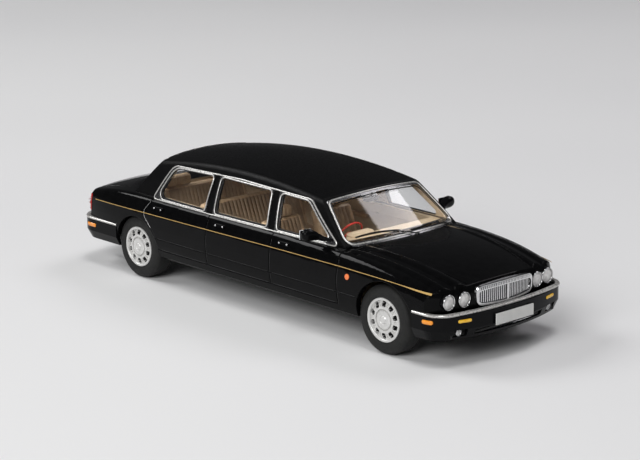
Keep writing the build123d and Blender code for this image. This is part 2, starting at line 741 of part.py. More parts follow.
def tyre_profile():
    """Points of the tyre's section as radius and depth behind the wheel's face: sidewalls, shoulders and tread."""
    near, far, tread_r = tyre_face_inset, tyre_face_inset + tyre_width, axle_z
    middle_r = (rim_r + tread_r) / 2
    side = [(rim_r, 0.3), (middle_r - 0.3, near), (tread_r - 0.75, near + 0.2), (tread_r - 0.2, near + 0.6)]
    outer = side + [(tread_r, near + 1.3)]
    inner = [(r, far + near - depth) for r, depth in reversed(outer)]
    inner[-1] = (rim_r, rim_width)
    return outer + inner


def tyres(axle_x):
    """Plain tyres with rounded shoulders, seated on the wheels' rims."""
    return Compound(children=[Pos(axle_x, 0, axle_z) * turned_y(tyre_profile(), side) for side in (-1, 1)])


def axle(axle_x):
    """A plain steel axle between the two wheels."""
    return Pos(axle_x, 0, axle_z) * Rot(90, 0, 0) * Cylinder(axle_r, 2 * (wheel_face_y - 0.35))


def base_plate():
    """The underbody: a plate between the sills, necked at the wheels, with axle bearings and screw bosses."""
    half = base_half()
    ahead = (base_rear_ahead, base_front_ahead)
    plate = block(ahead, (-half, half), (base_bottom_z, base_top_z))
    plate = fillet(plate.edges().filter_by(Axis.Z), base_corner_r)
    inner_y = wheel_face_y - tyre_width - wheel_clearance
    for axle_x in (front_axle_x, rear_axle_x):
        facing = 1 if axle_x > 0 else -1
        near = axle_x - facing * (axle_z + wheel_clearance)
        plate -= both_sides(Pos(near + facing * 20, inner_y + 6, base_top_z) * Box(40, 12, 6))
    ribs = [(-12.0, -75.0, 6.2, 1.6, 0.9), (-12.0, -75.0, 13.4, 2.2, 0.7)]
    for front, rear, y, width, drop in ribs:
        rib = block((rear, front), (y - width / 2, y + width / 2), (base_bottom_z - drop, base_bottom_z))
        plate += both_sides(chamfer(rib.edges().group_by(Axis.Z)[0], 0.4))
    for axle_x in (front_axle_x, rear_axle_x):
        for side in (-1, 1):
            height = axle_z + axle_r + bearing_wall - base_top_z
            post = Pos(axle_x, side * bearing_y, base_top_z + height / 2) * Box(bearing_length, bearing_width, height)
            plate += post
        plate -= Pos(axle_x, 0, axle_z) * Rot(90, 0, 0) * Cylinder(axle_r + bearing_gap, 40)
    for ahead in screw_ahead:
        x = front_axle_x + ahead
        boss = Pos(x, 0, base_bottom_z + screw_boss_height / 2) * Cylinder(screw_boss_r, screw_boss_height)
        plate += boss
        plate -= Pos(x, 0, base_bottom_z + screw_hole_depth / 2) * Cylinder(screw_hole_r, screw_hole_depth)
    return plate


def base_half():
    """The room between the shell's inner walls at the sill, less the lodging gap."""
    row = lower_stations[4]
    tucked = tuck_r - math.sqrt(tuck_r**2 - (row[2] - base_bottom_z) ** 2)
    return row[1] - tucked - body_wall - 2 * lodge_gap


def repeaters(proud):
    """Two round lamps on the front wings."""
    ahead, z = repeater_place
    rod = across(front_axle_x + ahead, 15, z, repeater_r, 12)
    return both_sides(rod & layers.skin(lower_body, -proud if proud else -1.0, marker_depth))


def tub_room(inset, extra):
    """The room inside the shell for the cabin tub. extra is how far its walls move in."""
    room = layers.get(lower_body, inset, sill_z - 1.5) + layers.get(cabin_body, inset)
    low = block((tub_step_ahead + extra, tub_front_ahead - extra), (-30, 30), (tub_floor_z - cabin_wall + extra, 40))
    high = block((tub_rear_ahead + extra, tub_front_ahead - 4), (-30, 30), (tub_step_z - cabin_wall + extra, 40))
    inner_y = wheel_face_y - tyre_width - wheel_clearance - extra
    wheel_room = both_sides(across(rear_axle_x, inner_y, axle_z, axle_z + wheel_clearance + extra, 12))
    return (room & (low + high)) - wheel_room


def cabin_tub():
    """The cabin's floor, side trim and bulkheads, one thin-walled moulding open at the top."""
    inset = body_wall + lodge_gap
    tub = tub_room(inset, 0.0) - tub_room(inset + cabin_wall, cabin_wall)
    return tub & block((-130, 30), (-30, 30), (0, tub_top_z))


def seat_outline(row):
    """A seat's side view, cushion and leaning backrest, as points ahead and up."""
    places, front, (under_z, cushion_z), (foot, head), back_z, rests = row
    thick = seat_back_thickness
    return [
        (front, under_z), (front, cushion_z), (foot, cushion_z - 0.6), (head, back_z),
        (head - thick * 0.75, back_z), (foot - thick, under_z),
    ]


def seats(name):
    """One row of seats: moulded cushions and backrests, with their headrests."""
    row = seat_rows[name]
    places, front, (under_z, cushion_z), (foot, head), back_z, (rests, rest_width, rest_z) = row
    floor_z = (tub_step_z if name == "rear_bench" else tub_floor_z) + lodge_gap
    made = []
    for middle, width in places:
        y = (middle - width / 2, middle + width / 2)
        seat = side_prism(seat_outline(row), [0.8, 1.0, 0.6, 0.8, 0.4, 0.4], y)
        ends = seat.faces().sort_by(Axis.Y)
        seat = chamfer(ends[0].edges() + ends[-1].edges(), 0.3)
        if under_z > floor_z:
            seat += block((foot - 2.0, front - 1.5), (y[0] + 1, y[1] - 1), (floor_z, cushion_z - 2))
        for offset in rests:
            height = rest_z - back_z + 0.5
            rest = chamfer(Box(headrest_thickness, rest_width, height).edges(), 0.5)
            x = front_axle_x + head - headrest_thickness / 2 + 0.3
            seat += Pos(x, middle + offset, rest_z - height / 2) * rest
        made.append(seat)
    return Compound(children=[solid for seat in made for solid in seat.solids()])


def dashboard():
    """The padded dash with a hood over the instruments in front of the driver."""
    half = 15.6
    rear, front = dash_ahead
    points = [
        (front, 16.0), (front, dash_top_z - 0.8), (rear + 1.0, dash_top_z), (rear, dash_top_z - 1.6),
        (rear + 2.2, 15.0),
    ]
    dash = side_prism(points, [0.4, 0.5, 0.9, 0.8, 0.5], (-half, half))
    hood = Pos(front_axle_x + rear + 1.4, driver_y, dash_top_z - 0.5) * Box(2.8, 7.0, 2.4)
    dash += chamfer(hood.edges(), 0.5)
    return dash & tub_room(body_wall + lodge_gap + cabin_wall + lodge_gap, cabin_wall + lodge_gap)


def steering_wheel():
    """A thin ring with a hub, two spokes and a column that runs into the dash."""
    ahead, z = wheel_middle
    s = wheel_ring_section_r
    ring_section = [(wheel_ring_r - s, 0, 0), (wheel_ring_r, 0, s), (wheel_ring_r + s, 0, 0), (wheel_ring_r, 0, -s)]
    ring = revolve(Face(Wire.make_polygon(ring_section, close=True)), Axis.Z, 360)
    hub = Cylinder(1.0, 0.8)
    spokes = Box(2 * wheel_ring_r, 0.7, 0.35)
    spokes += Pos(0, -wheel_ring_r / 2, 0) * Box(0.7, wheel_ring_r, 0.35)
    column = Pos(0, 0, -column_length / 2) * Cylinder(0.45, column_length)
    shape = ring + hub + spokes + column
    return Pos(front_axle_x + ahead, driver_y, z) * Rot(0, -wheel_tilt, 0) * Rot(0, 0, 90) * shape


def interior_mirror():
    """The rear-view mirror on a short stem from the windscreen's top rail."""
    ahead, z = inside_mirror_place
    x = front_axle_x + ahead
    housing = chamfer(Box(0.9, 4.6, 1.3).edges(), 0.25)
    stem = Pos(0.0, 0, 1.2) * Cylinder(0.25, 2.4)
    return Pos(x, 0, z) * (housing + stem)


def door_handles():
    """Six flush handles, one on each door."""
    size_x, out, up = handle_size
    grips = [Pos(front_axle_x + ahead, 0, handle_z) * Box(size_x, 60, up) for ahead in handle_places]
    skin = layers.skin(lower_body, -out, 0.0) & block((-90, -20), (14, 30), (handle_z - 2, handle_z + 2), both=True)
    return Compound(children=(skin & Compound(children=grips)).solids())


def door_mirrors():
    """Two mirror housings on arms from the front doors' leading corners."""
    ahead, y, z = mirror_middle
    x = front_axle_x + ahead
    made = []
    body = loft([
        facing_front(x - mirror_size[0] / 2, y, z) * Rectangle(mirror_size[1], mirror_size[2]),
        facing_front(x + mirror_size[0] / 2, y, z - 0.1) * Rectangle(mirror_size[1] - 1.4, mirror_size[2] - 1.2),
    ])
    body = chamfer(body.edges(), 0.4)
    arm_z = z - mirror_arm_drop
    plan = [(front_axle_x + place, y, arm_z) for place, y in mirror_arm_plan]
    arm = extrude(Face(Wire.make_polygon(plan, close=True)), mirror_arm_height, dir=(0, 0, 1))
    housing = body + arm - layers.get(cabin_body, -trim_proud) - layers.get(lower_body, 0.0)
    housing = max(housing.solids(), key=lambda s: s.volume)
    glass_seat = Pos(x - mirror_size[0] / 2, y, z) * Box(0.6, mirror_size[1] - 0.9, mirror_size[2] - 0.9)
    housing -= glass_seat
    return Compound(children=[housing.solid(), mirror(housing, Plane.XZ).solid()])


def mirror_glasses():
    """The mirrors' glasses, set in the rear of their housings."""
    ahead, y, z = mirror_middle
    x = front_axle_x + ahead - mirror_size[0] / 2
    pane = Pos(x + 0.2, y, z) * Box(0.2, mirror_size[1] - 0.9, mirror_size[2] - 0.9)
    return Compound(children=[pane, mirror(pane, Plane.XZ).solid()])


def on_windscreen(ahead, y, lift):
    """A point above the windscreen, or above its lower edge in front of it."""
    base_ahead, base_z, slope, bow_r = windscreen_plane
    bow = bow_r - math.sqrt(bow_r**2 - y**2)
    rise = max((base_ahead - bow - ahead) * math.tan(math.radians(slope)), 0.0)
    return Vector(front_axle_x + ahead, y, base_z + rise + lift)


def wipers():
    """Two blades that lie along the windscreen's lower edge, each on an arm from a spindle on the cowl."""
    made = []
    lift = wiper_r + wiper_lift
    for spindle, inner, outer in wiper_rows:
        ends = [on_windscreen(*inner, lift), on_windscreen(*outer, lift)]
        foot = on_windscreen(*spindle, lift)
        middle = ends[0] + (ends[1] - ends[0]) * 0.5
        wiper = rod(*ends, wiper_r) + rod(foot, middle, wiper_r)
        wiper += Pos(foot.X, foot.Y, foot.Z - spindle_height / 2 + wiper_r) * Cylinder(spindle_r, spindle_height)
        made.append(wiper.solid())
    return Compound(children=made)


def rod(start, end, r):
    direction = end - start
    plane = Plane(origin=start, z_dir=direction)
    return extrude(plane * Circle(r), direction.length).solid()


def exhaust_tips():
    """Two bright pipes below the rear bumper."""
    rear, front = exhaust_ahead
    middle = front_axle_x + (rear + front) / 2
    pipe = Pos(middle, exhaust_y, exhaust_z) * Rot(0, 90, 0) * Cylinder(exhaust_r, front - rear)
    bore = Cylinder(exhaust_r - exhaust_wall, exhaust_bore)
    pipe -= Pos(front_axle_x + rear, exhaust_y, exhaust_z) * Rot(0, 90, 0) * bore
    return Compound(children=[pipe.solid(), mirror(pipe, Plane.XZ).solid()])


makers = {
    "body_shell": body_shell,
    "base_plate": base_plate,
    "cabin_tub": cabin_tub,
    "dashboard": dashboard,
    "steering_wheel": steering_wheel,
    "front_seats": lambda: seats("front_seats"),
    "middle_bench": lambda: seats("middle_bench"),
    "rear_bench": lambda: seats("rear_bench"),
    "interior_mirror": interior_mirror,
    "windscreen_glass": lambda: cabin_pane("windscreen"),
    "rear_screen_glass": lambda: cabin_pane("rear_screen"),
    "side_glass_right": lambda: side_glass(-1),
    "side_glass_left": lambda: side_glass(1),
    "window_frames_right": lambda: trim("window_frames", -1),
    "window_frames_left": lambda: trim("window_frames", 1),
    "windscreen_trim": lambda: trim("windscreen_trim"),
    "rear_screen_trim": lambda: trim("rear_screen_trim"),
    "grille_frame": grille_frame,
    "grille_slats": grille_slats,
    "headlamp_bowls": headlamp_bowls,
    "headlamp_lenses": headlamp_lenses,
    "front_bumper": lambda: bumper(True),
    "front_bumper_blade": lambda: bumper_blade(True),
    "front_markers": lambda: markers(front_marker_boxes),
    "rear_bumper": lambda: bumper(False),
    "rear_bumper_blade": lambda: bumper_blade(False),
    "rear_markers": lambda: markers(rear_marker_boxes),
    "tail_lamps": lambda: tail_lamp_block(-tail_lamp_proud),
    "wing_repeaters": lambda: repeaters(0.15),
    "number_plates": number_plates,
    "door_handles": door_handles,
    "door_mirrors": door_mirrors,
    "mirror_glasses": mirror_glasses,
    "wipers": wipers,
    "exhaust_tips": exhaust_tips,
    "front_axle": lambda: axle(front_axle_x),
    "front_wheels": lambda: wheels(front_axle_x),
    "front_tyres": lambda: tyres(front_axle_x),
    "rear_axle": lambda: axle(rear_axle_x),
    "rear_wheels": lambda: wheels(rear_axle_x),
    "rear_tyres": lambda: tyres(rear_axle_x),
}

if __name__ == "__main__":
    os.makedirs("parts", exist_ok=True)
    for name, make in makers.items():
        shape = make()
        export_step(shape, f"parts/{name}.step")
        print(name, len(shape.solids()), "solids", round(shape.volume, 1), "mm3")
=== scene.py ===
import math

import bmesh
import bpy
import numpy as np
from mathutils import Matrix, Vector
from mathutils.bvhtree import BVHTree


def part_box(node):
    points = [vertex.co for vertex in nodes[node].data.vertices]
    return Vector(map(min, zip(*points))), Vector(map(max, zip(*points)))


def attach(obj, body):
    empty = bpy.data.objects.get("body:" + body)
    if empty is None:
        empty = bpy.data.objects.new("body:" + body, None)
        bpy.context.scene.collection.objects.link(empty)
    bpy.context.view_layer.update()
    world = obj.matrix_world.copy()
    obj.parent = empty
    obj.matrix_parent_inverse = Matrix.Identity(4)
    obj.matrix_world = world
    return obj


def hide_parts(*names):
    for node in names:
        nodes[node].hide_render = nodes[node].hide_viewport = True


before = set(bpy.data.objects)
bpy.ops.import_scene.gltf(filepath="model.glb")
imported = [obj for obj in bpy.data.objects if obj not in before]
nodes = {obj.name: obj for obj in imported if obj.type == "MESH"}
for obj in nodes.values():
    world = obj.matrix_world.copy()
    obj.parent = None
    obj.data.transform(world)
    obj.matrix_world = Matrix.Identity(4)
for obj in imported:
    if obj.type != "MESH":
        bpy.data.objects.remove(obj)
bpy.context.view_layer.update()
scene = bpy.context.scene
mm = 0.001

# The camera stands where the photograph was taken from. Angles in degrees, distances in millimetres.
camera_azimuth = 47.53
camera_elevation = 14.43
camera_roll = -0.42
camera_distance = 484.9
camera_target = (4.41, 0.0, 16.84)
camera_lens = 114.9
camera_sensor = 36.0
camera_clip = (10.0, 20000.0)


def make_camera():
    """The camera at the photograph's viewing angle."""
    az, el, roll = (math.radians(v) for v in (camera_azimuth, camera_elevation, camera_roll))
    back = Vector((math.sin(az) * math.cos(el), -math.cos(az) * math.cos(el), math.sin(el)))
    right = Vector((math.cos(az), math.sin(az), 0.0))
    up = back.cross(right)
    turned_right = right * math.cos(roll) + up * math.sin(roll)
    turned_up = up * math.cos(roll) - right * math.sin(roll)
    data = bpy.data.cameras.new("camera")
    data.sensor_width = camera_sensor
    data.lens = camera_lens
    data.clip_start = camera_clip[0] * mm
    data.clip_end = camera_clip[1] * mm
    camera = bpy.data.objects.new("camera", data)
    scene.collection.objects.link(camera)
    place = Vector(camera_target) * mm + back * camera_distance * mm
    camera.matrix_world = Matrix((
        (turned_right.x, turned_up.x, back.x, place.x),
        (turned_right.y, turned_up.y, back.y, place.y),
        (turned_right.z, turned_up.z, back.z, place.z),
        (0.0, 0.0, 0.0, 1.0),
    ))
    scene.camera = camera


# The studio's soft boxes: name, place and aim in metres, size, power in watts, and colour
white = (1.0, 1.0, 1.0)
soft_boxes = [
    ("lamp_key", (0.06, 0.62, 0.72), (0.02, 0.0, 0.02), (0.50, 0.34), 1.7, (1.0, 0.97, 1.0)),
    ("lamp_front", (0.30, -0.85, 0.55), (0.0, 0.0, 0.01), (0.7, 0.45), 6.5, white),
    ("lamp_left", (-0.75, -0.35, 0.75), (-0.02, 0.0, 0.01), (0.5, 0.4), 4.5, white),
    ("lamp_above", (0.25, -0.1, 1.1), (0.02, 0.0, 0.01), (0.3, 0.3), 3.0, white),
]
world_colour = (0.07, 0.071, 0.074, 1.0)


def make_light():
    """Soft boxes behind, in front, at the left and above, and a dim plain world."""
    for name, place, aim, size, power, colour in soft_boxes:
        data = bpy.data.lights.new(name, "AREA")
        data.shape = "RECTANGLE"
        data.size, data.size_y = size
        data.energy = power
        data.color = colour
        lamp = bpy.data.objects.new(name, data)
        scene.collection.objects.link(lamp)
        lamp.location = place
        lamp.rotation_euler = (Vector(aim) - Vector(place)).to_track_quat("-Z", "Y").to_euler()
    world = bpy.data.worlds.new("studio")
    world.use_nodes = True
    world.node_tree.nodes["Background"].inputs["Color"].default_value = world_colour
    scene.world = world
    scene.view_settings.view_transform = "Standard"


# Materials


class Tree:
    """A material's node tree, with short calls for the nodes used here."""

    def __init__(self, name):
        self.material = bpy.data.materials.new(name)
        self.material.use_nodes = True
        self.tree = self.material.node_tree
        self.shader = self.tree.nodes["Principled BSDF"]
        self.output = self.tree.nodes["Material Output"]
        self.place = None

    def node(self, kind, links=(), **values):
        made = self.tree.nodes.new("ShaderNode" + kind)
        for key, value in values.items():
            if key in made.inputs and not hasattr(made, key):
                made.inputs[key].default_value = value
            else:
                setattr(made, key, value)
        for socket, source in dict(links).items():
            self.tree.links.new(source, made.inputs[socket])
        return made

    def coordinates(self):
        if self.place is None:
            self.place = self.node("TexCoord").outputs["Object"]
        return self.place

    def noise(self, scale, detail):
        made = self.node("TexNoise", {"Vector": self.coordinates()}, Scale=scale, Detail=detail)
        return made.outputs["Fac"]

    def compute(self, operation, first, second):
        made = self.node("Math", {0: first}, operation=operation)
        if isinstance(second, float):
            made.inputs[1].default_value = second
        else:
            self.tree.links.new(second, made.inputs[1])
        return made.outputs["Value"]

    def ramp(self, source, low, high, at=(0.35, 0.65)):
        made = self.node("ValToRGB", {"Fac": source})
        for element, place, value in zip(made.color_ramp.elements, at, (low, high)):
            element.position = place
            element.color = (*value, 1.0) if hasattr(value, "__len__") else (value, value, value, 1.0)
        return made.outputs["Color"]

    def bump(self, source, depth, strength, normal=None):
        links = {"Height": source}
        if normal is not None:
            links["Normal"] = normal
        return self.node("Bump", links, Strength=strength, Distance=depth).outputs["Normal"]

    def link(self, socket, source):
        self.tree.links.new(source, self.shader.inputs[socket])

    def set(self, **values):
        names = {"colour": "Base Color", "rough": "Roughness", "metal": "Metallic", "coat": "Coat Weight",
                 "ior": "IOR", "specular": "Specular IOR Level", "clear": "Transmission Weight"}
        for key, value in values.items():
            self.shader.inputs[names[key]].default_value = (*value, 1.0) if key == "colour" else value
        return self


# Finishes whose colour and roughness drift: two colours, two roughnesses, the scale of the drift, the grain's
# scale, depth and strength, and what else is set on the shader. A grey is one number
all_metal = {"metal": 1.0}
clear_coat = {"coat": 0.5}
plain_finishes = {
    "channel": ((0.16, 0.16, 0.165), (0.22, 0.22, 0.225), (0.2, 0.3), 900.0, None, all_metal),
    "dark": (0.004, 0.008, (0.5, 0.7), 900.0),
    "wood": ((0.10, 0.035, 0.012), (0.20, 0.08, 0.03), (0.12, 0.2), 260.0, None, {"coat": 0.4}),
    "seal": (0.008, 0.014, (0.45, 0.6), 900.0),
    # The seats' pleated faces are the same tan leather; their darker colour here is painted shade
    "pleat_shade": ((0.25, 0.165, 0.095), (0.33, 0.23, 0.14), (0.4, 0.55), 700.0, (3500.0, 0.02, 0.6)),
    "trim": ((0.54, 0.53, 0.51), (0.62, 0.61, 0.59), (0.24, 0.34), 700.0, None, {"metal": 0.55}),
    # The edge beads' dark metal reflects far more than the black paint under them, so their thin light lines
    # are partly lamp light on a rounded crest and partly painted highlight
    "edge": ((0.045, 0.045, 0.046), (0.07, 0.07, 0.071), (0.2, 0.3), 900.0, None, all_metal),
    "chassis": (0.012, (0.022, 0.022, 0.021), (0.4, 0.6), 300.0, (1800.0, 0.02, 0.4)),
    "chrome": ((0.66, 0.66, 0.665), (0.74, 0.74, 0.745), (0.16, 0.26), 700.0, None, all_metal),
    "beige": ((0.52, 0.40, 0.26), (0.62, 0.49, 0.33), (0.5, 0.65), 600.0, (3000.0, 0.02, 0.5)),
    "tan": ((0.44, 0.30, 0.17), (0.54, 0.38, 0.23), (0.45, 0.6), 600.0, (3000.0, 0.02, 0.5)),
    "red": ((0.55, 0.035, 0.02), (0.65, 0.05, 0.03), (0.25, 0.35), 900.0),
    "black_plastic": (0.01, 0.018, (0.2, 0.35), 900.0, (2500.0, 0.01, 0.4)),
    "amber": ((0.90, 0.28, 0.02), (0.98, 0.36, 0.03), (0.1, 0.2), 900.0, None, clear_coat),
    "yellow": ((0.95, 0.50, 0.02), (1.0, 0.60, 0.04), (0.1, 0.2), 900.0, None, clear_coat),
    "red_lens": ((0.42, 0.01, 0.008), (0.55, 0.02, 0.012), (0.1, 0.2), 900.0, None, clear_coat),
    "orange": ((0.85, 0.16, 0.03), (0.92, 0.22, 0.04), (0.1, 0.2), 900.0, None, clear_coat),
    "plate": ((0.66, 0.66, 0.64), (0.72, 0.72, 0.70), (0.3, 0.4), 500.0),
    "mirror": ((0.75, 0.76, 0.78), (0.8, 0.81, 0.83), (0.03, 0.06), 700.0, None, all_metal),
    "steel": (0.5, (0.6, 0.6, 0.59), (0.25, 0.4), 700.0, None, all_metal),
    "silver": ((0.66, 0.655, 0.64), (0.74, 0.735, 0.72), (0.3, 0.42), 800.0, None, {"metal": 0.35}),
    "rubber": (0.011, (0.017, 0.017, 0.016), (0.6, 0.75), 500.0, (2200.0, 0.02, 0.4), {"specular": 0.3}),
    "gold": ((0.60, 0.38, 0.12), (0.68, 0.45, 0.16), (0.3, 0.4), 800.0, None, {"metal": 0.3}),
}
drift_at = (0.3, 0.7)
rough_drift_part = 2.7


def plain(name, low, high, rough, scale, grain=None, more=()):
    """A material whose colour and roughness drift between two values, with a fine grain in its surface."""
    t = Tree(name).set(**dict(more))
    t.link("Base Color", t.ramp(t.noise(scale, 4.0), low, high, drift_at))
    t.link("Roughness", t.ramp(t.noise(scale * rough_drift_part, 3.0), *rough, drift_at))
    if grain:
        grain_scale, depth, strength = grain
        t.link("Normal", t.bump(t.noise(grain_scale, 2.0), depth * mm, strength))
    return t.material


glazing_tint = (0.97, 0.975, 0.98)
shadow_tint = (0.93, 0.93, 0.93, 1.0)


def glass_material(name):
    """Clear plastic glazing, which lets lamps through to the cabin."""
    t = Tree(name).set(colour=glazing_tint, rough=0.0, clear=1.0, ior=1.46)
    path = t.node("LightPath").outputs["Is Shadow Ray"]
    film = t.node("BsdfTransparent")
    film.inputs["Color"].default_value = shadow_tint
    mix = t.node("MixShader", {0: path, 1: t.shader.outputs["BSDF"], 2: film.outputs["BSDF"]})
    t.tree.links.new(mix.outputs["Shader"], t.output.inputs["Surface"])
    return t.material


enamel_colour = (0.004, 0.004, 0.0045)
paint_ior = 1.4
gloss_rough = (0.03, 0.06)
gloss_scale = 900.0
satin_rough = (0.34, 0.46)
satin_scale = 2200.0
peel_scale = 1500.0


def gloss_paint(name):
    """Gloss black enamel with a faint orange peel."""
    t = Tree(name).set(colour=enamel_colour, ior=paint_ior, specular=0.13)
    t.link("Roughness", t.ramp(t.noise(gloss_scale, 3.0), *gloss_rough))
    t.link("Normal", t.bump(t.noise(peel_scale, 1.0), 0.004 * mm, 0.35))
    return t.material


# The satin roof starts between two heights. A face is in the cabin where its normal, times the way to it from
# the cabin's middle line, is less than the limit
roof_from_z = (21.0, 21.3)
cabin_middle_z = 22.0
inner_product = -2.0
edge_round_r = 0.22


def body_paint(name):
    """Gloss black below the waistline, a satin roof, and pale trim on the cabin's inner faces."""
    t = Tree(name).set(ior=paint_ior, specular=0.12)
    place = t.node("SeparateXYZ", {"Vector": t.coordinates()})
    roof = t.node("MapRange", {"Value": place.outputs["Z"]})
    roof.inputs["From Min"].default_value = roof_from_z[0] * mm
    roof.inputs["From Max"].default_value = roof_from_z[1] * mm
    lift = t.compute("SUBTRACT", place.outputs["Z"], cabin_middle_z * mm)
    arm = t.node("CombineXYZ", {"Y": place.outputs["Y"], "Z": lift})
    normal = t.node("NewGeometry").outputs["True Normal"]
    facing = t.node("VectorMath", {0: normal, 1: arm.outputs["Vector"]}, operation="DOT_PRODUCT")
    inside = t.compute("LESS_THAN", facing.outputs["Value"], inner_product * mm)
    inner = t.compute("MULTIPLY", inside, roof.outputs["Result"])
    black = t.ramp(t.noise(600.0, 3.0), (0.0022, 0.0022, 0.0024), (0.0034, 0.0034, 0.0037))
    beige = t.ramp(t.noise(900.0, 3.0), (0.50, 0.39, 0.26), (0.58, 0.46, 0.32))
    colour = t.node("Mix", {0: inner, 6: black, 7: beige}, data_type="RGBA")
    t.link("Base Color", colour.outputs[2])
    gloss = t.ramp(t.noise(gloss_scale, 3.0), *gloss_rough)
    satin = t.ramp(t.noise(satin_scale, 3.0), *satin_rough)
    rough = t.node("Mix", {0: roof.outputs["Result"], 2: gloss, 3: satin}, data_type="FLOAT")
    t.link("Roughness", rough.outputs[0])
    edge = t.node("Bevel", Radius=edge_round_r * mm)
    edge.samples = 6
    t.link("Normal", t.bump(t.noise(peel_scale, 1.0), 0.003 * mm, 0.3, edge.outputs["Normal"]))
    return t.material


rib_pitch = 0.34
rib_depth = 0.02


def ribbed_glass(name):
    """A lamp lens: pale, a little cloudy and mottled, with fine upright ribs."""
    t = Tree(name).set(rough=0.24, clear=0.12, ior=1.45)
    t.link("Base Color", t.ramp(t.noise(1300.0, 3.0), (0.80, 0.78, 0.77), (1.0, 0.99, 0.98)))
    place = t.node("SeparateXYZ", {"Vector": t.coordinates()})
    waves = t.compute("MULTIPLY", place.outputs["Y"], 2 * math.pi / (rib_pitch * mm))
    ribs = t.node("Math", {0: waves}, operation="SINE")
    t.link("Normal", t.bump(ribs.outputs["Value"], rib_depth * mm, 0.6))
    return t.material


def make_materials():
    """Every material, by its name."""
    made = {name: plain(name, *row) for name, row in plain_finishes.items()}
    made["black_paint"] = gloss_paint("black_paint")
    made["body_paint"] = body_paint("body_paint")
    made["ribbed"] = ribbed_glass("ribbed")
    made["glazing"] = glass_material("glazing")
    return made


floor_colours = ((0.76, 0.76, 0.765), (0.80, 0.80, 0.80))
floor_half = 4.0
floor_drop = 0.02


def make_floor():
    """A plain pale floor."""
    t = Tree("floor").set(rough=0.9, specular=0.15)
    t.link("Base Color", t.ramp(t.noise(3.0, 2.0), *floor_colours))
    mesh = bpy.data.meshes.new("floor")
    a = floor_half
    mesh.from_pydata([(-a, -a, 0), (a, -a, 0), (a, a, 0), (-a, a, 0)], [], [(0, 1, 2, 3)])
    floor = bpy.data.objects.new("floor", mesh)
    floor.location.z = -floor_drop * mm
    mesh.materials.append(t.material)
    scene.collection.objects.link(floor)


nodes_by_finish = {
    "body_paint": ["body_shell"],
    "black_paint": ["front_bumper", "rear_bumper", "door_handles", "door_mirrors"],
    "chassis": ["base_plate"],
    "beige": ["cabin_tub", "dashboard"],
    "tan": ["front_seats", "middle_bench", "rear_bench"],
    "red": ["steering_wheel"],
    "black_plastic": ["interior_mirror", "wipers"],
    "glazing": ["windscreen_glass", "rear_screen_glass", "side_glass_right", "side_glass_left"],
    "channel": ["window_frames_right", "window_frames_left", "windscreen_trim", "rear_screen_trim"],
    "chrome": ["grille_frame", "grille_slats", "headlamp_bowls", "exhaust_tips"],
    "trim": ["front_bumper_blade", "rear_bumper_blade"],
    "ribbed": ["headlamp_lenses"],
    "amber": ["front_markers"],
    "orange": ["rear_markers", "wing_repeaters"],
    "red_lens": ["tail_lamps"],
    "plate": ["number_plates"],
    "mirror": ["mirror_glasses"],
    "steel": ["front_axle", "rear_axle"],
    "silver": ["front_wheels", "rear_wheels"],
    "rubber": ["front_tyres", "rear_tyres"],
}


def finish_nodes():
    """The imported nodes' own materials."""
    for finish, names in nodes_by_finish.items():
        for name in names:
            mesh = nodes[name].data
            mesh.materials.clear()
            mesh.materials.append(materials[finish])


# Shapes. Lengths are in millimetres, and a place written as "ahead" is a distance in front of the front axle.
front_axle_x = 46.25
rear_axle_x = -40.55
axle_z = 7.86


def unit(vectors):
    vectors = np.asarray(vectors, float)
    return vectors / np.maximum(np.linalg.norm(vectors, axis=-1, keepdims=True), 1e-9)


def grid(points, close_u=False, close_v=False, caps=False):
    """A grid of points as vertices and faces. caps closes the first and the last row."""
    points = np.asarray(points, float)
    rows, columns = points.shape[:2]
    faces = []
    for i in range(rows if close_u else rows - 1):
        for j in range(columns if close_v else columns - 1):
            a, b = i * columns, (i + 1) % rows * columns
            k = (j + 1) % columns
            faces.append((a + j, b + j, b + k, a + k))
    if caps:
        faces.append(tuple(range(columns)))
        faces.append(tuple((rows - 1) * columns + j for j in reversed(range(columns))))
    return points.reshape(-1, 3), faces


def turned(profile, segments, middle, axis):
    """A profile of radius and place along an axis, turned about the line through middle."""
    profile = np.asarray(profile, float)
    angles = np.linspace(0, 2 * np.pi, segments, endpoint=False)
    along = np.broadcast_to(profile[None, :, 1], (segments, len(profile)))
    u = np.cos(angles)[:, None] * profile[None, :, 0]
    v = np.sin(angles)[:, None] * profile[None, :, 0]
    order = {"X": (along, u, v), "Y": (u, along, v), "Z": (u, v, along)}[axis]
    return np.stack(order, axis=-1) + np.asarray(middle, float)


def piece(name, parts, body="root", replaces=(), sharp=38.0):
    """One object from several parts, each given as vertices, faces and a material's name."""
    verts, faces, slots, kept = [], [], [], []
    for part_verts, part_faces, finish in parts:
        start = len(verts)
        verts.extend((np.asarray(part_verts) * mm).tolist())
        faces.extend(tuple(start + i for i in face) for face in part_faces)
        if finish not in kept:
            kept.append(finish)
        slots.extend([kept.index(finish)] * len(part_faces))
    mesh = bpy.data.meshes.new(name)
    mesh.from_pydata(verts, [], faces)
    for finish in kept:
        mesh.materials.append(materials[finish])
    mesh.polygons.foreach_set("material_index", slots)
    made = bmesh.new()
    made.from_mesh(mesh)
    bmesh.ops.recalc_face_normals(made, faces=made.faces)
    made.to_mesh(mesh)
    made.free()
    mesh.shade_smooth()
    mesh.set_sharp_from_angle(angle=math.radians(sharp))
    obj = bpy.data.objects.new(name, mesh)
    scene.collection.objects.link(obj)
    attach(obj, body)
    if replaces:
        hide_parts(*replaces)


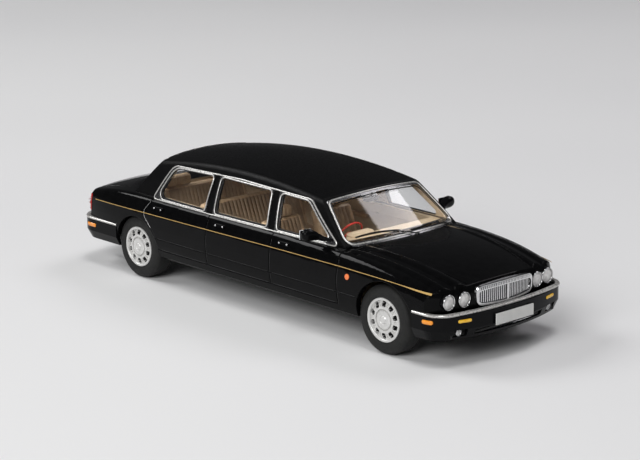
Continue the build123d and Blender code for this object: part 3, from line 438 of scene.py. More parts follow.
def rounded(points, radii, step=0.4):
    """A closed outline with its corners rounded, as points about a step apart."""
    points = [np.asarray(p, float) for p in points]
    marks = []
    for i, corner in enumerate(points):
        to_last = unit(points[i - 1] - corner)
        to_next = unit(points[(i + 1) % len(points)] - corner)
        half = math.acos(max(-1.0, min(1.0, float(to_last @ to_next)))) / 2
        r = radii[i]
        start = corner + to_last * r / math.tan(half)
        end = corner + to_next * r / math.tan(half)
        middle = corner + unit(to_last + to_next) * r / math.sin(half)
        turns = max(3, int(r * (math.pi - 2 * half) / step) + 1)
        for k in range(turns + 1):
            chord = start + (end - start) * k / turns
            marks.append(middle + unit(chord - middle) * r)
    outline = []
    for a, b in zip(marks, marks[1:] + marks[:1]):
        count = max(1, int(np.linalg.norm(b - a) / step))
        outline += [a + (b - a) * k / count for k in range(count)]
    return np.array(outline)


def offset(outline, distance):
    """A closed outline moved outward, or inward where the distance is negative."""
    run = unit(np.roll(outline, -1, 0) - np.roll(outline, 1, 0))
    normal = np.stack([run[:, 1], -run[:, 0]], axis=1)
    x, y = outline[:, 0], outline[:, 1]
    area = np.sum(x * np.roll(y, -1) - np.roll(x, -1) * y)
    return outline + normal * distance * (1 if area > 0 else -1)


gap_depth = 0.12


class Surface:
    """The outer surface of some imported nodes, met by rays from outside."""

    def __init__(self, *names):
        verts, faces = [], []
        for name in names:
            mesh = nodes[name].data
            start = len(verts)
            verts += [v.co / mm for v in mesh.vertices]
            faces += [tuple(start + i for i in face.vertices) for face in mesh.polygons]
        self.tree = BVHTree.FromPolygons(verts, faces)

    def hit(self, origin, way):
        place, normal = self.tree.ray_cast(Vector(origin), Vector(way))[:2]
        if place is None:
            return None
        if normal.dot(Vector(way)) > 0:
            normal = -normal
        return np.array(place), np.array(normal)

    def trace(self, points, cast, reach=0):
        """Where rays meet the surface, and its normals: over gaps, at the least depth within reach."""
        casts = [[np.array(v, float) for v in cast(p)] for p in points]
        hits = [self.hit(*c) for c in casts]
        depths = [float((h[0] - c[0]) @ c[1]) if h else math.inf for h, c in zip(hits, casts)]
        places, normals = [], []
        for i, (origin, way) in enumerate(casts):
            near = [k for k in range(max(0, i - reach), min(len(hits), i + reach + 1)) if hits[k]]
            if not near:
                near = [min((k for k, h in enumerate(hits) if h), key=lambda k: abs(k - i))]
            best = min(near, key=lambda k: depths[k])
            depth = depths[i] if depths[i] < depths[best] + gap_depth else depths[best]
            places.append(origin + way * depth)
            normals.append(hits[best][1])
        return np.array(places), np.array(normals)

    def strip(self, points, cast, width, height, finish, reach=0, **more):
        """A strip along the places where rays meet the surface."""
        return bead(*self.trace(points, cast, reach), width, height, finish, **more)


def from_side(side):
    return lambda p: ((front_axle_x + p[0], side * 60.0, p[1]), (0.0, -side, 0.0))


def from_front(facing):
    return lambda p: ((facing * 120.0, p[0], p[1]), (-facing, 0.0, 0.0))


def from_above(p):
    return (front_axle_x + p[0], p[1], 60.0), (0.0, 0.0, -1.0)


def screen_ahead(plane, facing, y, z):
    """How far ahead a bowed screen stands at a place across and up."""
    ahead, low_z, slope, bow_r = plane
    bow = bow_r - np.sqrt(bow_r**2 - np.square(y))
    return ahead - facing * ((z - low_z) / math.tan(math.radians(slope)) + bow)


def from_screen(plane, facing):
    """Rays square to a bowed screen, for points given across and up."""
    slope, bow_r = math.radians(plane[2]), plane[3]

    def cast(p):
        y, z = p
        normal = unit([facing, y / math.sqrt(bow_r**2 - y**2), 1 / math.tan(slope)])
        place = np.array([front_axle_x + screen_ahead(plane, facing, y, z), y, z])
        return place + normal * 3.0, -normal

    return cast


def soften(values, reach, closed):
    """A running mean along a path."""
    if reach < 1:
        return values
    count = len(values)
    made = np.zeros_like(values)
    for k in range(-reach, reach + 1):
        index = np.arange(count) + k
        index = index % count if closed else np.clip(index, 0, count - 1)
        made += values[index]
    return made / (2 * reach + 1)


bead_section = [(-1.0, -0.6), (-0.86, 0.45), (-0.45, 0.9), (0.0, 1.0), (0.45, 0.9), (0.86, 0.45), (1.0, -0.6)]


def bead(places, normals, width, height, finish, closed=True, lift=0.0, smooth=2):
    """A half-round strip that follows a path on a surface."""
    normals = unit(soften(normals, smooth + 2, closed))
    places = soften(places, smooth, closed)
    if closed:
        run = np.roll(places, -1, 0) - np.roll(places, 1, 0)
    else:
        run = np.gradient(places, axis=0)
    across = unit(np.cross(normals, unit(run)))
    width = np.broadcast_to(np.asarray(width, float), (len(places),))
    rows = [places + across * (a * width / 2)[:, None] + normals * (b * height + lift)
            for a, b in bead_section]
    verts, faces = grid(np.stack(rows, axis=1), close_u=closed, close_v=True, caps=not closed)
    return verts, faces, finish


def box(middle, size, bevel, finish, turn=None):
    """A block with rounded edges."""
    made = bmesh.new()
    bmesh.ops.create_cube(made, size=1.0)
    bmesh.ops.scale(made, vec=size, verts=made.verts)
    if bevel:
        bmesh.ops.bevel(made, geom=list(made.edges), offset=bevel, segments=3, profile=0.5, affect="EDGES")
    if turn:
        bmesh.ops.rotate(made, matrix=Matrix.Rotation(math.radians(turn[1]), 3, turn[0]), verts=made.verts)
    made.verts.index_update()
    verts = np.array([v.co[:] for v in made.verts]) + np.asarray(middle, float)
    faces = [tuple(v.index for v in face.verts) for face in made.faces]
    made.free()
    return verts, faces, finish


def rod(path, r, finish, sides=12):
    """A round rod through a list of points."""
    path = np.asarray(path, float)
    run = unit(np.gradient(path, axis=0))
    u = unit(np.cross(run, [0.13, 0.27, 0.95]))
    v = np.cross(run, u)
    angles = np.linspace(0, 2 * np.pi, sides, endpoint=False)
    ring = [path + r * (math.cos(a) * u + math.sin(a) * v) for a in angles]
    return (*grid(np.stack(ring, axis=1), close_v=True, caps=True), finish)


def lathe(profile, segments, middle, axis, finish, closed=False):
    """A turned part. closed joins the last point of the profile to its first."""
    return (*grid(turned(profile, segments, middle, axis), close_u=True, close_v=closed), finish)


def squared(values, power):
    """Cosines or sines drawn out toward a rounded square."""
    return np.sign(values) * np.abs(values) ** power


# Wheels and tyres. Columns of the profiles: radius, depth behind the wheel's face

tyre_points = [
    (5.0, 0.32), (5.45, 0.08), (6.3, 0.05), (7.1, 0.18), (7.58, 0.5), (7.80, 1.0), (7.86, 1.7), (7.86, 3.6),
    (7.80, 4.3), (7.55, 4.85), (6.6, 5.25), (5.0, 4.4),
]
tyre_segments = 60
wheel_face_y = 20.0
wheel_face = [
    (0.0, -0.02), (0.55, -0.02), (0.8, 0.0), (0.88, 0.14), (0.98, 0.16), (1.06, 0.06), (1.9, 0.14),
    (2.1, 0.2), (2.16, 0.62), (2.4, 0.66), (2.48, 0.22), (2.7, 0.2), (3.0, 0.24), (3.6, 0.36), (4.1, 0.55),
    (4.28, 0.62), (4.36, 0.26), (4.5, 0.12), (4.8, 0.06), (4.95, 0.12), (5.0, 0.25),
]
wheel_back = [
    (5.0, 0.25), (5.0, 4.4), (4.55, 4.4), (4.4, 2.4), (2.0, 2.1), (2.0, 3.6), (0.9, 3.6), (0.9, 2.0),
    (0.0, 2.0),
]
face_rings = [(0.02, 2.6, 26), (2.6, 5.0, 44)]
face_segments = 240
back_segments = 72
slot_count = 10
slot_middle_r = 3.62
slot_half_length = 0.6
slot_half_width = 0.5
slot_edge = 1.25
slot_depth = 1.1
recess_depth = 0.3
recess_half_length = 0.42
recess_half_width = 0.26
recess_edge = 1.2
edge_slope = 0.5
# Faces this far into a slot take the near-black finish: painted shade inside the slots
slot_shade_from = 0.75


def wheel_parts(axle_x, side):
    """A wheel's face with slots near its rim, near-black inside as painted shade, shallow recesses between
    them, and its plain back.
    """
    radii = np.unique(np.concatenate([np.linspace(*span) for span in face_rings]))
    angles = np.linspace(0, 2 * np.pi, face_segments, endpoint=False)
    table = np.array(wheel_face)
    r, a = np.meshgrid(radii, angles, indexing="ij")
    depth = np.interp(r, table[:, 0], table[:, 1])
    pitch = 2 * np.pi / slot_count
    off = (np.mod(a, pitch) - pitch / 2) * r
    between = (np.mod(a + pitch / 2, pitch) - pitch / 2) * r
    along = np.abs(r - slot_middle_r)
    slot = (along / slot_half_length) ** 4 + (np.abs(off) / slot_half_width) ** 4
    recess = (along / recess_half_length) ** 4 + (np.abs(between) / recess_half_width) ** 4
    inside = np.clip((slot_edge - slot) / edge_slope, 0, 1)
    depth = depth + inside * slot_depth + np.clip((recess_edge - recess) / edge_slope, 0, 1) * recess_depth
    points = [axle_x + r * np.cos(a), side * (wheel_face_y - depth), axle_z + r * np.sin(a)]
    verts, faces = grid(np.stack(points, axis=-1), close_v=True)
    middle = inside.reshape(-1)
    # Faces deep in a slot are near-black, a painted shade
    bright = [f for f in faces if max(middle[i] for i in f) < slot_shade_from]
    dark = [f for f in faces if max(middle[i] for i in f) >= slot_shade_from]
    hub = tuple(range(len(angles)))
    profile = [(q, side * (wheel_face_y - d)) for q, d in wheel_back]
    back = lathe(profile, back_segments, (axle_x, 0, axle_z), "Y", "silver")
    return [(verts, bright + [hub], "silver"), (verts, dark, "dark"), back]


def make_wheels():
    for end, axle_x in (("front", front_axle_x), ("rear", rear_axle_x)):
        body = end + "_wheelset"
        parts = wheel_parts(axle_x, -1) + wheel_parts(axle_x, 1)
        piece(end + "_wheel_faces", parts, body, (end + "_wheels",), 30)
        rings = []
        for side in (-1, 1):
            profile = [(r, side * (wheel_face_y - depth)) for r, depth in tyre_points]
            rings.append(lathe(profile, tyre_segments, (axle_x, 0, axle_z), "Y", "rubber", True))
        piece(end + "_tyre_rings", rings, body, (end + "_tyres",), 50)


# Window frames, seals, the coachline, and beads whose finish partly paints the highlights along the door
# edges, the crease, the sill and the bonnet ridges

frame_edge = [(-82.7, 20.5), (-77.0, 29.6), (-52.0, 30.3), (-27.4, 29.6), (-15.4, 20.7)]
frame_radii = [0.6, 3.2, 60.0, 2.5, 0.6]
side_windows = [
    ([(-80.6, 21.2), (-76.0, 28.9), (-61.2, 29.4), (-62.2, 21.2)], [1.2, 3.0, 0.5, 0.5]),
    ([(-58.4, 21.2), (-58.3, 29.5), (-40.5, 29.3), (-39.7, 21.3)], [0.5, 0.5, 0.5, 0.5]),
    ([(-36.2, 21.3), (-37.2, 29.2), (-28.2, 28.9), (-18.1, 21.3)], [0.5, 0.5, 2.2, 0.8]),
]
bead_width = 0.36
bead_height = 0.12
seal_width = 0.24
seal_height = 0.1
seal_lift = 0.02
screen_bead_inset = 0.26
screen_bead_width = 0.44
screen_seal_inset = 0.14
screen_seal_width = 0.3
coachline_rows = [
    (-104.5, 17.05), (-96.0, 17.15), (-83.4, 17.25), (-60.0, 17.4), (-35.0, 17.55), (-12.0, 17.55),
    (0.0, 17.3), (7.0, 16.95), (12.5, 16.5), (14.9, 16.2),
]
coachline_step = 0.5
coachline_width = 0.17
coachline_end_width = 0.55
coachline_widens = (6.0, 14.0)
coachline_height = 0.03
# A pale metal strip along the rear door's trailing edge is a painted highlight: the real edge is black paint
# catching the light
rear_door_edge = [(-81.4, 20.4), (-83.6, 18.0), (-83.4, 16.5), (-80.2, 13.6)]
door_highlight_size = (0.13, 0.04)
door_highlight_lift = 0.02
door_lines = [-13.9, -36.5, -59.4]
door_line_width = 0.12
door_line_shift = 0.06
door_edge_height = (9.0, 20.2)
edge_inset = 0.14
edge_highlight_height = 0.03
# The sill and door-gap beads below take the brighter edge finish, so their highlights are partly painted
sill_lines = [(11.72, (-79.3, -7.5)), (8.98, (-77.6, -14.1))]
sill_line_width = 0.14
sill_line_gap = 0.5
# The ridge beads take the brighter edge finish, so their highlight lines are partly painted
ridge_rows = [(15.75, 16.4), (11.6, 13.4)]
ridge_ahead = (-9.6, 12.6)
ridge_highlight_size = (0.16, 0.04)

# A screen's lower edge ahead and up, its slope in degrees, and the radius of its bow
windscreen_plane = (-10.8, 21.5, 37.5, 37.0)
rear_screen_plane = (-92.2, 22.4, 44.0, 50.0)


def bowed(row):
    """A screen's outline seen from the front, with bowed upper and lower edges and rounded corners."""
    (low_y, low_z), low_middle, (high_y, high_z), high_middle, corner_r = row
    corners = [(low_y, low_z), (high_y, high_z), (-high_y, high_z), (-low_y, low_z)]
    outline = rounded(corners, [corner_r] * 4)
    part = (outline[:, 1] - low_z) / (high_z - low_z)
    half = low_y + (high_y - low_y) * part
    bow = 1 - (outline[:, 0] / half) ** 2
    outline[:, 1] += bow * ((low_middle - low_z) * (1 - part) + (high_middle - high_z) * part)
    return outline


# Lower corner across and up, height of the lower edge's middle, the same for the upper edge, corner radius
windscreen_frame = ((17.3, 20.9), 21.5, (14.4, 29.5), 30.5, 1.4)
windscreen_pane = ((16.7, 21.5), 22.1, (13.95, 28.9), 29.9, 1.0)
rear_screen_frame = ((15.6, 22.3), 22.9, (13.2, 29.9), 30.9, 2.0)
rear_screen_pane = ((15.1, 22.8), 23.4, (12.8, 29.4), 30.4, 1.6)


def make_edge_highlights(shell, cast, word):
    """The rounded edges of the door gaps, the crease and the sill on one side, as beads in a brighter finish
    that partly paints their highlights.
    """
    lines = []
    for z, (back, front) in sill_lines:
        stops = [back] + [ahead for ahead in reversed(door_lines) if back < ahead < front] + [front]
        for start, end in zip(stops, stops[1:]):
            marks = [(ahead, z) for ahead in np.linspace(start + sill_line_gap, end - sill_line_gap, 40)]
            lines.append(shell.strip(marks, cast, sill_line_width, edge_highlight_height, "edge", closed=False))
    for ahead in door_lines:
        marks = [(ahead + edge_inset + door_line_shift, z) for z in np.linspace(*door_edge_height, 30)]
        lines.append(shell.strip(marks, cast, door_line_width, edge_highlight_height, "edge", closed=False))
    piece("edge_lines_" + word, lines)


def make_trim():
    """Bright beads round the windows, the seals inside them, the gold coachline, and strips whose finish
    paints the highlights along the door edges, the crease and the sill.
    """
    line = np.array(coachline_rows)
    ahead = np.arange(line[0, 0], line[-1, 0], coachline_step)
    heights = soften(np.interp(ahead, line[:, 0], line[:, 1])[:, None], 6, False)[:, 0]
    widths = np.interp(ahead, coachline_widens, (coachline_width, coachline_end_width))
    edge = np.array(rear_door_edge)
    steps = np.linspace(0, 1, 12, endpoint=False)[:, None]
    edge = np.concatenate([a + (b - a) * steps for a, b in zip(edge, edge[1:])])
    for side, word in ((-1, "right"), (1, "left")):
        frames = Surface("window_frames_" + word, "body_shell")
        panes = Surface("side_glass_" + word)
        cast = from_side(side)
        outer = offset(rounded(frame_edge, frame_radii), -bead_width / 2)
        parts = [frames.strip(outer, cast, bead_width, bead_height, "trim")]
        seals = []
        for corners, radii in side_windows:
            outline = rounded(corners, radii)
            ring = offset(outline, bead_width / 2 + 0.02)
            parts.append(frames.strip(ring, cast, bead_width, bead_height, "trim"))
            inner = offset(outline, -seal_width / 2)
            seals.append(panes.strip(inner, cast, seal_width, seal_height, "seal", lift=seal_lift))
        piece("window_beads_" + word, parts)
        piece("window_seals_" + word, seals)
        shell = Surface("body_shell")
        marks = list(zip(ahead, heights))
        strip = shell.strip(marks, cast, widths, coachline_height, "gold", 3, closed=False, smooth=4)
        piece("coachline_" + word, [strip])
        # The rear door edge's pale strip: painted highlight
        marks = edge + [edge_inset, 0.0]
        strip = shell.strip(marks, cast, *door_highlight_size, "steel", 2, closed=False, lift=door_highlight_lift)
        piece("door_edge_" + word, [strip])
        make_edge_highlights(shell, cast, word)
    for word, facing, plane, frame_row, pane_row in (
            ("windscreen", 1, windscreen_plane, windscreen_frame, windscreen_pane),
            ("rear_screen", -1, rear_screen_plane, rear_screen_frame, rear_screen_pane)):
        trim = Surface(word + "_trim")
        pane = Surface(word + "_glass")
        cast = from_screen(plane, facing)
        outer = offset(bowed(frame_row), -screen_bead_inset)
        inner = offset(bowed(pane_row), -screen_seal_inset)
        strip = trim.strip(outer, cast, screen_bead_width, bead_height, "trim")
        piece(word + "_bead", [strip])
        strip = pane.strip(inner, cast, screen_seal_width, seal_height, "seal", lift=seal_lift)
        piece(word + "_seal", [strip])


def make_ridge_highlights():
    """The crests of the ridges along the bonnet and the wings, as beads in a brighter finish that partly
    paints their highlights.
    """
    shell = Surface("body_shell")
    lines = []
    for at_nose, at_screen in ridge_rows:
        for side in (-1, 1):
            ahead = np.linspace(*ridge_ahead, 50)
            across = np.interp(ahead, ridge_ahead, (at_screen, at_nose)) * side
            marks = list(zip(ahead, across))
            lines.append(shell.strip(marks, from_above, *ridge_highlight_size, "edge", closed=False, smooth=3))
    piece("ridge_lines", lines)


# Lamps, grille, plates and other fittings of the nose and the tail

nose_x = front_axle_x + 17.7

# Headlamps: place across, height, radius, and distance behind the nose
lamp_rows = [(11.6, 14.25, 1.55, 1.6), (15.75, 14.25, 1.55, 2.2)]
lamp_rim = 0.25
lamp_depth = 2.2
rim_at = 0.3
rim_crown = 0.17
dish_at = -0.15
dish_depth = 1.3
barrel_front = 0.2
barrel_gap = 0.05
bulb_r = 0.28
bulb_at = -0.9
bulb_half_length = 0.35
bulb_foot = -1.4
lens_part = 0.985
lens_at = 0.12
lens_rise = 0.42
lens_top = (0.03, 0.44)
lens_inner_part = 0.95
lens_thickness = 0.1
short_of_axis = 0.02


def lamp_parts(middle, r):
    """A bright rim and dished reflector, its black barrel and its bulb, and a domed, ribbed lens."""
    half = lamp_rim / 2
    turn = np.linspace(0, np.pi, 9)
    ring = [(r + half + half * math.cos(a), rim_at + rim_crown * math.sin(a)) for a in turn]
    quarter = np.pi / 2 - short_of_axis
    dish = [(r * math.cos(a), dish_at - dish_depth * math.sin(a)) for a in np.linspace(0, quarter, 10)]
    rim, foot = r + lamp_rim, -lamp_depth + barrel_gap
    barrel = [(0.0, foot), (rim, foot), (rim, barrel_front)]
    bulb = [(0.0, bulb_foot)]
    for a in np.linspace(0.3, np.pi - 0.05, 8):
        bulb.append((bulb_r * math.sin(a), bulb_at + bulb_half_length * math.cos(np.pi - a)))
    turn = np.linspace(0, quarter, 14)
    rises = [(r * lens_part * math.cos(a), lens_at + lens_rise * math.sin(a)) for a in turn]
    dome = rises + [lens_top] + [(q * lens_inner_part, h - lens_thickness) for q, h in reversed(rises)]
    bowl = [
        lathe(ring + dish, 48, middle, "X", "chrome"),
        lathe(barrel, 48, middle, "X", "black_paint"),
        lathe(bulb, 16, middle, "X", "plate"),
    ]
    return bowl, lathe(dome, 56, middle, "X", "ribbed", True)


def make_lamps():
    """The four headlamps."""
    bowls, lenses = [], []
    for y, z, r, back in lamp_rows:
        for side in (-1, 1):
            bowl, lens = lamp_parts((nose_x - back, side * y, z), r)
            bowls += bowl
            lenses.append(lens)
    piece("lamp_bowls", bowls, replaces=("headlamp_bowls",))
    piece("lamp_lenses", lenses, replaces=("headlamp_lenses",))


flute_pitch = 0.5
flutes_each_side = 16
flute_step = 0.13
flute_size = (0.26, 0.17)
flute_inset = 0.16
# The darker metal strip under the flutes is painted shade between them
flute_shade_half = 8.3
flute_shade_drop = 0.34
flute_shade_size = (0.74, 0.03)
grille_top_z = 16.55
grille_arch = 0.5
grille_half = 9.1


def flute_top(y):
    """The upper end of a flute, a little below the grille's arched edge."""
    return grille_top_z + grille_arch * (1 - (y / grille_half) ** 2) - flute_inset


def make_grille_flutes():
    """Small upright flutes along the grille's wide top bar, over a darker strip that paints the shade between
    them.
    """
    bar = Surface("grille_frame")
    cast = from_front(1)
    across = np.linspace(-flute_shade_half, flute_shade_half, 60)
    marks = [(y, flute_top(y) - flute_shade_drop) for y in across]
    parts = [bar.strip(marks, cast, *flute_shade_size, "channel", closed=False)]
    for i in range(-flutes_each_side, flutes_each_side + 1):
        y = i * flute_pitch
        path = [(y, flute_top(y) - k * flute_step) for k in range(6)]
        parts.append(bar.strip(path, cast, *flute_size, "chrome", closed=False, smooth=0))
    piece("grille_flutes", parts)


# Number plates: ahead, height of the middle, width, height, and the way they face
plate_rows = [(20.6, 9.55, 11.8, 2.5, 1), (-110.2, 14.9, 12.1, 2.6, -1)]
plate_corner_r = 0.35
border_inset = 0.16
border_size = (0.2, 0.02)
border_sink = 0.02

# Door handles: ahead and height
handle_rows = [(-32.0, 19.1), (-54.6, 19.1), (-78.0, 19.1)]
handle_half = 1.3
handle_sink = 0.05
handle_end_size = (0.44, 0.24, 0.4)

# The front bumper's fog lamps and intake. A place is ahead, across and up
fog_lamp = (17.2, 14.3, 7.75)
fog_rim = [(0.62, -0.3), (0.62, 0.1), (0.68, 0.18), (0.78, 0.18), (0.84, 0.08), (0.84, -0.3)]
fog_face = [(0.0, 0.16), (0.4, 0.12), (0.63, 0.0), (0.63, -0.2), (0.0, -0.2)]
# The near-black boxes behind the fog lamps and the intake are painted shade for the dark depth behind these
# openings
fog_shade_ahead = 16.45
fog_shade_size = (0.2, 4.6, 2.3)
fog_shade_turn = 15.2
intake_shade_place = (16.2, 0.0, 7.4)
intake_shade_size = (0.2, 27.0, 2.6)
intake_bar = (17.2, 0.0, 7.05)
intake_bar_size = (0.3, 20.6, 0.1)
intake_bar_pitch = 0.33


def ahead_place(ahead, y, z):
    return front_axle_x + ahead, y, z


def make_plate_borders():
    """A dark border round each blank plate."""
    plates = []
    for ahead, z, width, height, facing in plate_rows:
        half, low, high = width / 2, z - height / 2, z + height / 2
        corners = [(-half, low), (half, low), (half, high), (-half, high)]
        ring = offset(rounded(corners, [plate_corner_r] * 4, 0.3), -border_inset)
        x = front_axle_x + ahead - facing * border_sink
        places = np.column_stack([np.full(len(ring), x), ring])
        normals = np.tile([facing, 0.0, 0.0], (len(ring), 1))
        plates.append(bead(places, normals, *border_size, "black_plastic", smooth=0))
    piece("plate_borders", plates)


def make_handle_ends():
    """The bright ends of the door handles."""
    handles = Surface("door_handles")
    ends = []
    for ahead, z in handle_rows:
        for side in (-1, 1):
            for shift in (-handle_half, handle_half):
                place = handles.hit(*from_side(side)((ahead + shift, z)))[0]
                sunk = (place[0], place[1] - side * handle_sink, place[2])
                ends.append(box(sunk, handle_end_size, 0.09, "chrome"))
    piece("handle_ends", ends)


def make_bumper_inserts():
    """Near-black backings behind the front bumper's openings, painted shade for the dark depth behind them,
    its fog lamps and the intake's bars.
    """
    bars = [box(ahead_place(*intake_shade_place), intake_shade_size, 0.05, "dark")]
    ahead, across, z = fog_lamp
    for side in (-1, 1):
        middle = ahead_place(ahead, side * across, z)
        bars.append(lathe(fog_rim, 32, middle, "X", "chrome", True))
        bars.append(lathe(fog_face, 32, middle, "X", "ribbed"))
        fog_shade_place = ahead_place(fog_shade_ahead, side * across, z)
        bars.append(box(fog_shade_place, fog_shade_size, 0.05, "dark", ("Z", -side * fog_shade_turn)))
    ahead, across, z = intake_bar
    for k in range(4):
        place = ahead_place(ahead, across, z + intake_bar_pitch * k)
        bars.append(box(place, intake_bar_size, 0.03, "black_plastic"))
    piece("bumper_inserts", bars)


# Marker lenses: span along or across, span in height, way they face and finish. A cap's rows: how far in from
# its outline, and the part of its rise
front_markers = [
    ((12.6, 15.2), (10.1, 11.0), "side", "amber"),
    ((12.0, 15.2), (10.1, 10.8), "front", "yellow"),
]
rear_markers = [((-106.9, -103.3), (9.9, 10.8), "side", "amber")]
cap_rows = [(0.0, -1.5), (0.0, 0.2), (0.05, 0.7), (0.14, 1.0)]
cap_rise = 0.12
cap_corner_part = 0.42

# Ribs of the tail lamps: height, width and finish
tail_ribs = [
    (14.5, 0.12, "red_lens"), (15.1, 0.12, "red_lens"), (15.85, 0.62, "ribbed"), (16.6, 0.12, "red_lens"),
    (17.2, 0.12, "red_lens"),
]
tail_rib_across = (13.9, 20.2)
tail_rib_height = 0.07


def make_markers():
    """Lens caps with round ends over the bumpers' markers, and the tail lamps' ribs."""
    for end, rows in (("front", front_markers), ("rear", rear_markers)):
        surface = Surface(end + "_markers", end + "_bumper")
        caps = []
        for (low, high), (low_z, high_z), way, finish in rows:
            for side in (-1, 1):
                mirror = side if way == "front" else 1
                near, far = mirror * low, mirror * high
                corners = [(near, low_z), (far, low_z), (far, high_z), (near, high_z)]
                outline = rounded(corners, [(high_z - low_z) * cap_corner_part] * 4, 0.12)
                cast = from_front(1) if way == "front" else from_side(side)
                facing = unit(surface.trace(outline, cast)[1].mean(axis=0))
                rings = []
                for inset, lift in cap_rows:
                    ring = surface.trace(offset(outline, -inset), cast)[0]
                    rings.append(ring + facing * lift * cap_rise)
                caps.append((*grid(rings, close_v=True, caps=True), finish))
        piece(end + "_marker_caps", caps, replaces=(end + "_markers",))
    lamps = Surface("tail_lamps")
    ribs = []
    for side in (-1, 1):
        for z, width, finish in tail_ribs:
            marks = [(side * y, z) for y in np.linspace(*tail_rib_across, 40)]
            ribs.append(lamps.strip(marks, from_front(-1), width, tail_rib_height, finish, closed=False))
    piece("tail_lamp_ribs", ribs)


# A mirror's sections from its outer end to its arm's foot. Columns: y, ahead, z, half depth, half height
mirror_rows = [
    (24.05, -21.40, 23.50, 0.20, 0.25), (23.92, -21.40, 23.50, 0.70, 0.78), (23.5, -21.45, 23.50, 1.02, 1.15),
    (22.8, -21.45, 23.50, 1.22, 1.38), (21.8, -21.40, 23.42, 1.26, 1.36), (20.9, -21.25, 23.20, 1.20, 1.15),
    (20.0, -20.90, 22.85, 1.10, 0.85), (19.2, -20.30, 22.45, 1.05, 0.60), (18.4, -19.60, 22.10, 1.10, 0.48),
    (17.4, -18.90, 21.90, 1.20, 0.42),
]


mirror_columns = 28
mirror_power = 0.8
mirror_glass_gap = 0.05


def make_mirrors():
    """Teardrop door mirrors that taper into their arms, flat behind the glass."""
    back_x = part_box("mirror_glasses")[0][0] / mm + mirror_glass_gap
    a = np.linspace(0, 2 * np.pi, mirror_columns, endpoint=False)
    along = squared(np.cos(a), mirror_power)
    up = squared(np.sin(a), mirror_power)
    parts = []
    for side in (-1, 1):
        rows = []
        for y, ahead, z, half_depth, half_height in mirror_rows:
            x = np.maximum(front_axle_x + ahead + half_depth * along, back_x)
            rows.append(np.stack([x, np.full(mirror_columns, side * y), z + half_height * up], axis=1))
        parts.append((*grid(rows, close_v=True, caps=True), "black_paint"))
    piece("mirror_housings", parts, replaces=("door_mirrors",), sharp=50)


# Wipers: the spindle and the blade's two ends, each ahead and across
wiper_rows = [
    ((-10.2, 0.9), (-12.6, -2.4), (-15.1, -14.0)),
    ((-12.6, 14.0), (-13.6, 11.4), (-11.7, 0.2)),
]
wiper_stations = 15
blade_lift = 0.12
blade_size = (0.22, 0.22)
carrier_lift = 0.3
carrier_bow = 0.12
carrier_r = 0.09
arm_foot_lift = 0.35
arm_joint_lift = 0.45
arm_bow = 0.25
arm_r = 0.15
spindle_cap = [(0.5, -0.45), (0.5, 0.02), (0.4, 0.16), (0.2, 0.22), (0.0, 0.24), (0.0, -0.45)]


def make_wipers():
    """Flat blades with bowed carriers on slim arms."""
    screen = Surface("windscreen_glass", "windscreen_trim", "body_shell")

    def above(ahead, y, lift):
        found = screen.hit(*from_above((ahead, y)))
        return found[0] + np.array([0.0, 0.0, lift]), found[1]

    parts = []
    for spindle, inner, outer in wiper_rows:
        inner, outer = np.array(inner), np.array(outer)
        blade = [inner + (outer - inner) * t for t in np.linspace(0, 1, wiper_stations)]
        hits = [above(*p, blade_lift) for p in blade]
        places, normals = (np.array(v) for v in zip(*hits))
        parts.append(bead(places, normals, *blade_size, "seal", closed=False, smooth=1))
        lifts = carrier_lift + carrier_bow * np.sin(np.linspace(0, np.pi, wiper_stations))
        parts.append(rod(places + unit(normals) * lifts[:, None], carrier_r, "black_plastic", 8))
        middle = wiper_stations // 2
        foot = above(*spindle, arm_foot_lift)[0]
        joint = places[middle] + unit(normals[middle]) * arm_joint_lift
        arm = []
        for t in np.linspace(0, 1, 9):
            arm.append(foot + (joint - foot) * t + np.array([0, 0, arm_bow * math.sin(math.pi * t)]))
        parts.append(rod(arm, arm_r, "black_plastic", 10))
        parts.append(lathe(spindle_cap, 20, foot, "Z", "black_plastic", True))
    piece("wiper_arms", parts, replaces=("wipers",))


# The cabin. A profile's columns are radius and place along the axis
wheel_middle = (-23.4, -8.0, 20.2)
wheel_tilt = -62.0
wheel_ring_r = 3.7
wheel_rim_r = 0.24
wheel_hub = [(0.0, -0.5), (0.9, -0.5), (1.1, 0.0), (0.95, 0.35), (0.6, 0.45), (0.0, 0.48)]
spoke_angles = (0.0, math.pi, -math.pi / 2)
spoke_span = (0.7, 3.6)
spoke_rise = 0.12
spoke_r = 0.22
column_top = -0.3
column_step = 0.32
column_r = 0.4

# Where each door's card starts and ends. A trim is its shift ahead, places across and up, length (below zero
# where it is that much shorter than the card), depth, height, rounding and finish
door_cards = [(-35.6, -16.5), (-58.6, -38.4), (-79.6, -61.4)]
door_trims = [
    (0.0, 17.25, 18.6, -3.0, 0.7, 1.0, 0.3, "beige"), (2.0, 16.8, 17.0, 7.5, 1.4, 1.0, 0.4, "tan"),
    (0.0, 17.4, 20.3, -2.0, 0.45, 0.5, 0.18, "wood"),
]

# The instrument panel, its dials and the wooden rail. A place is ahead of the dash's rear face, across and up
panel_place = (-0.02, -8.0, 20.2)
panel_size = (0.2, 6.2, 1.7)
dial = [(0.0, 0.0), (0.62, 0.0), (0.66, -0.06), (0.0, -0.06)]
dial_back = -0.1
dial_z = 20.3
dial_shifts = (-1.6, 0.0, 1.6)
rail_place = (0.4, 3.5, 19.4)
rail_size = (0.3, 15.0, 0.8)
shelf_half = 16.2
shelf_back = (-15.4, 21.34)
shelf_gap = 0.3
shelf_drop = 0.42
shelf_thickness = 0.4

# The inside mirror's sections: place along the car and size
oval_rows = [(-0.42, 0.86), (-0.3, 1.0), (0.1, 1.0), (0.35, 0.7), (0.42, 0.3)]
oval_half = (2.35, 0.72)
oval_power = 0.7
oval_z = 27.4
stem_foot = (0.1, 27.8)
stem_step = (0.02, 0.32)
stem_r = 0.2


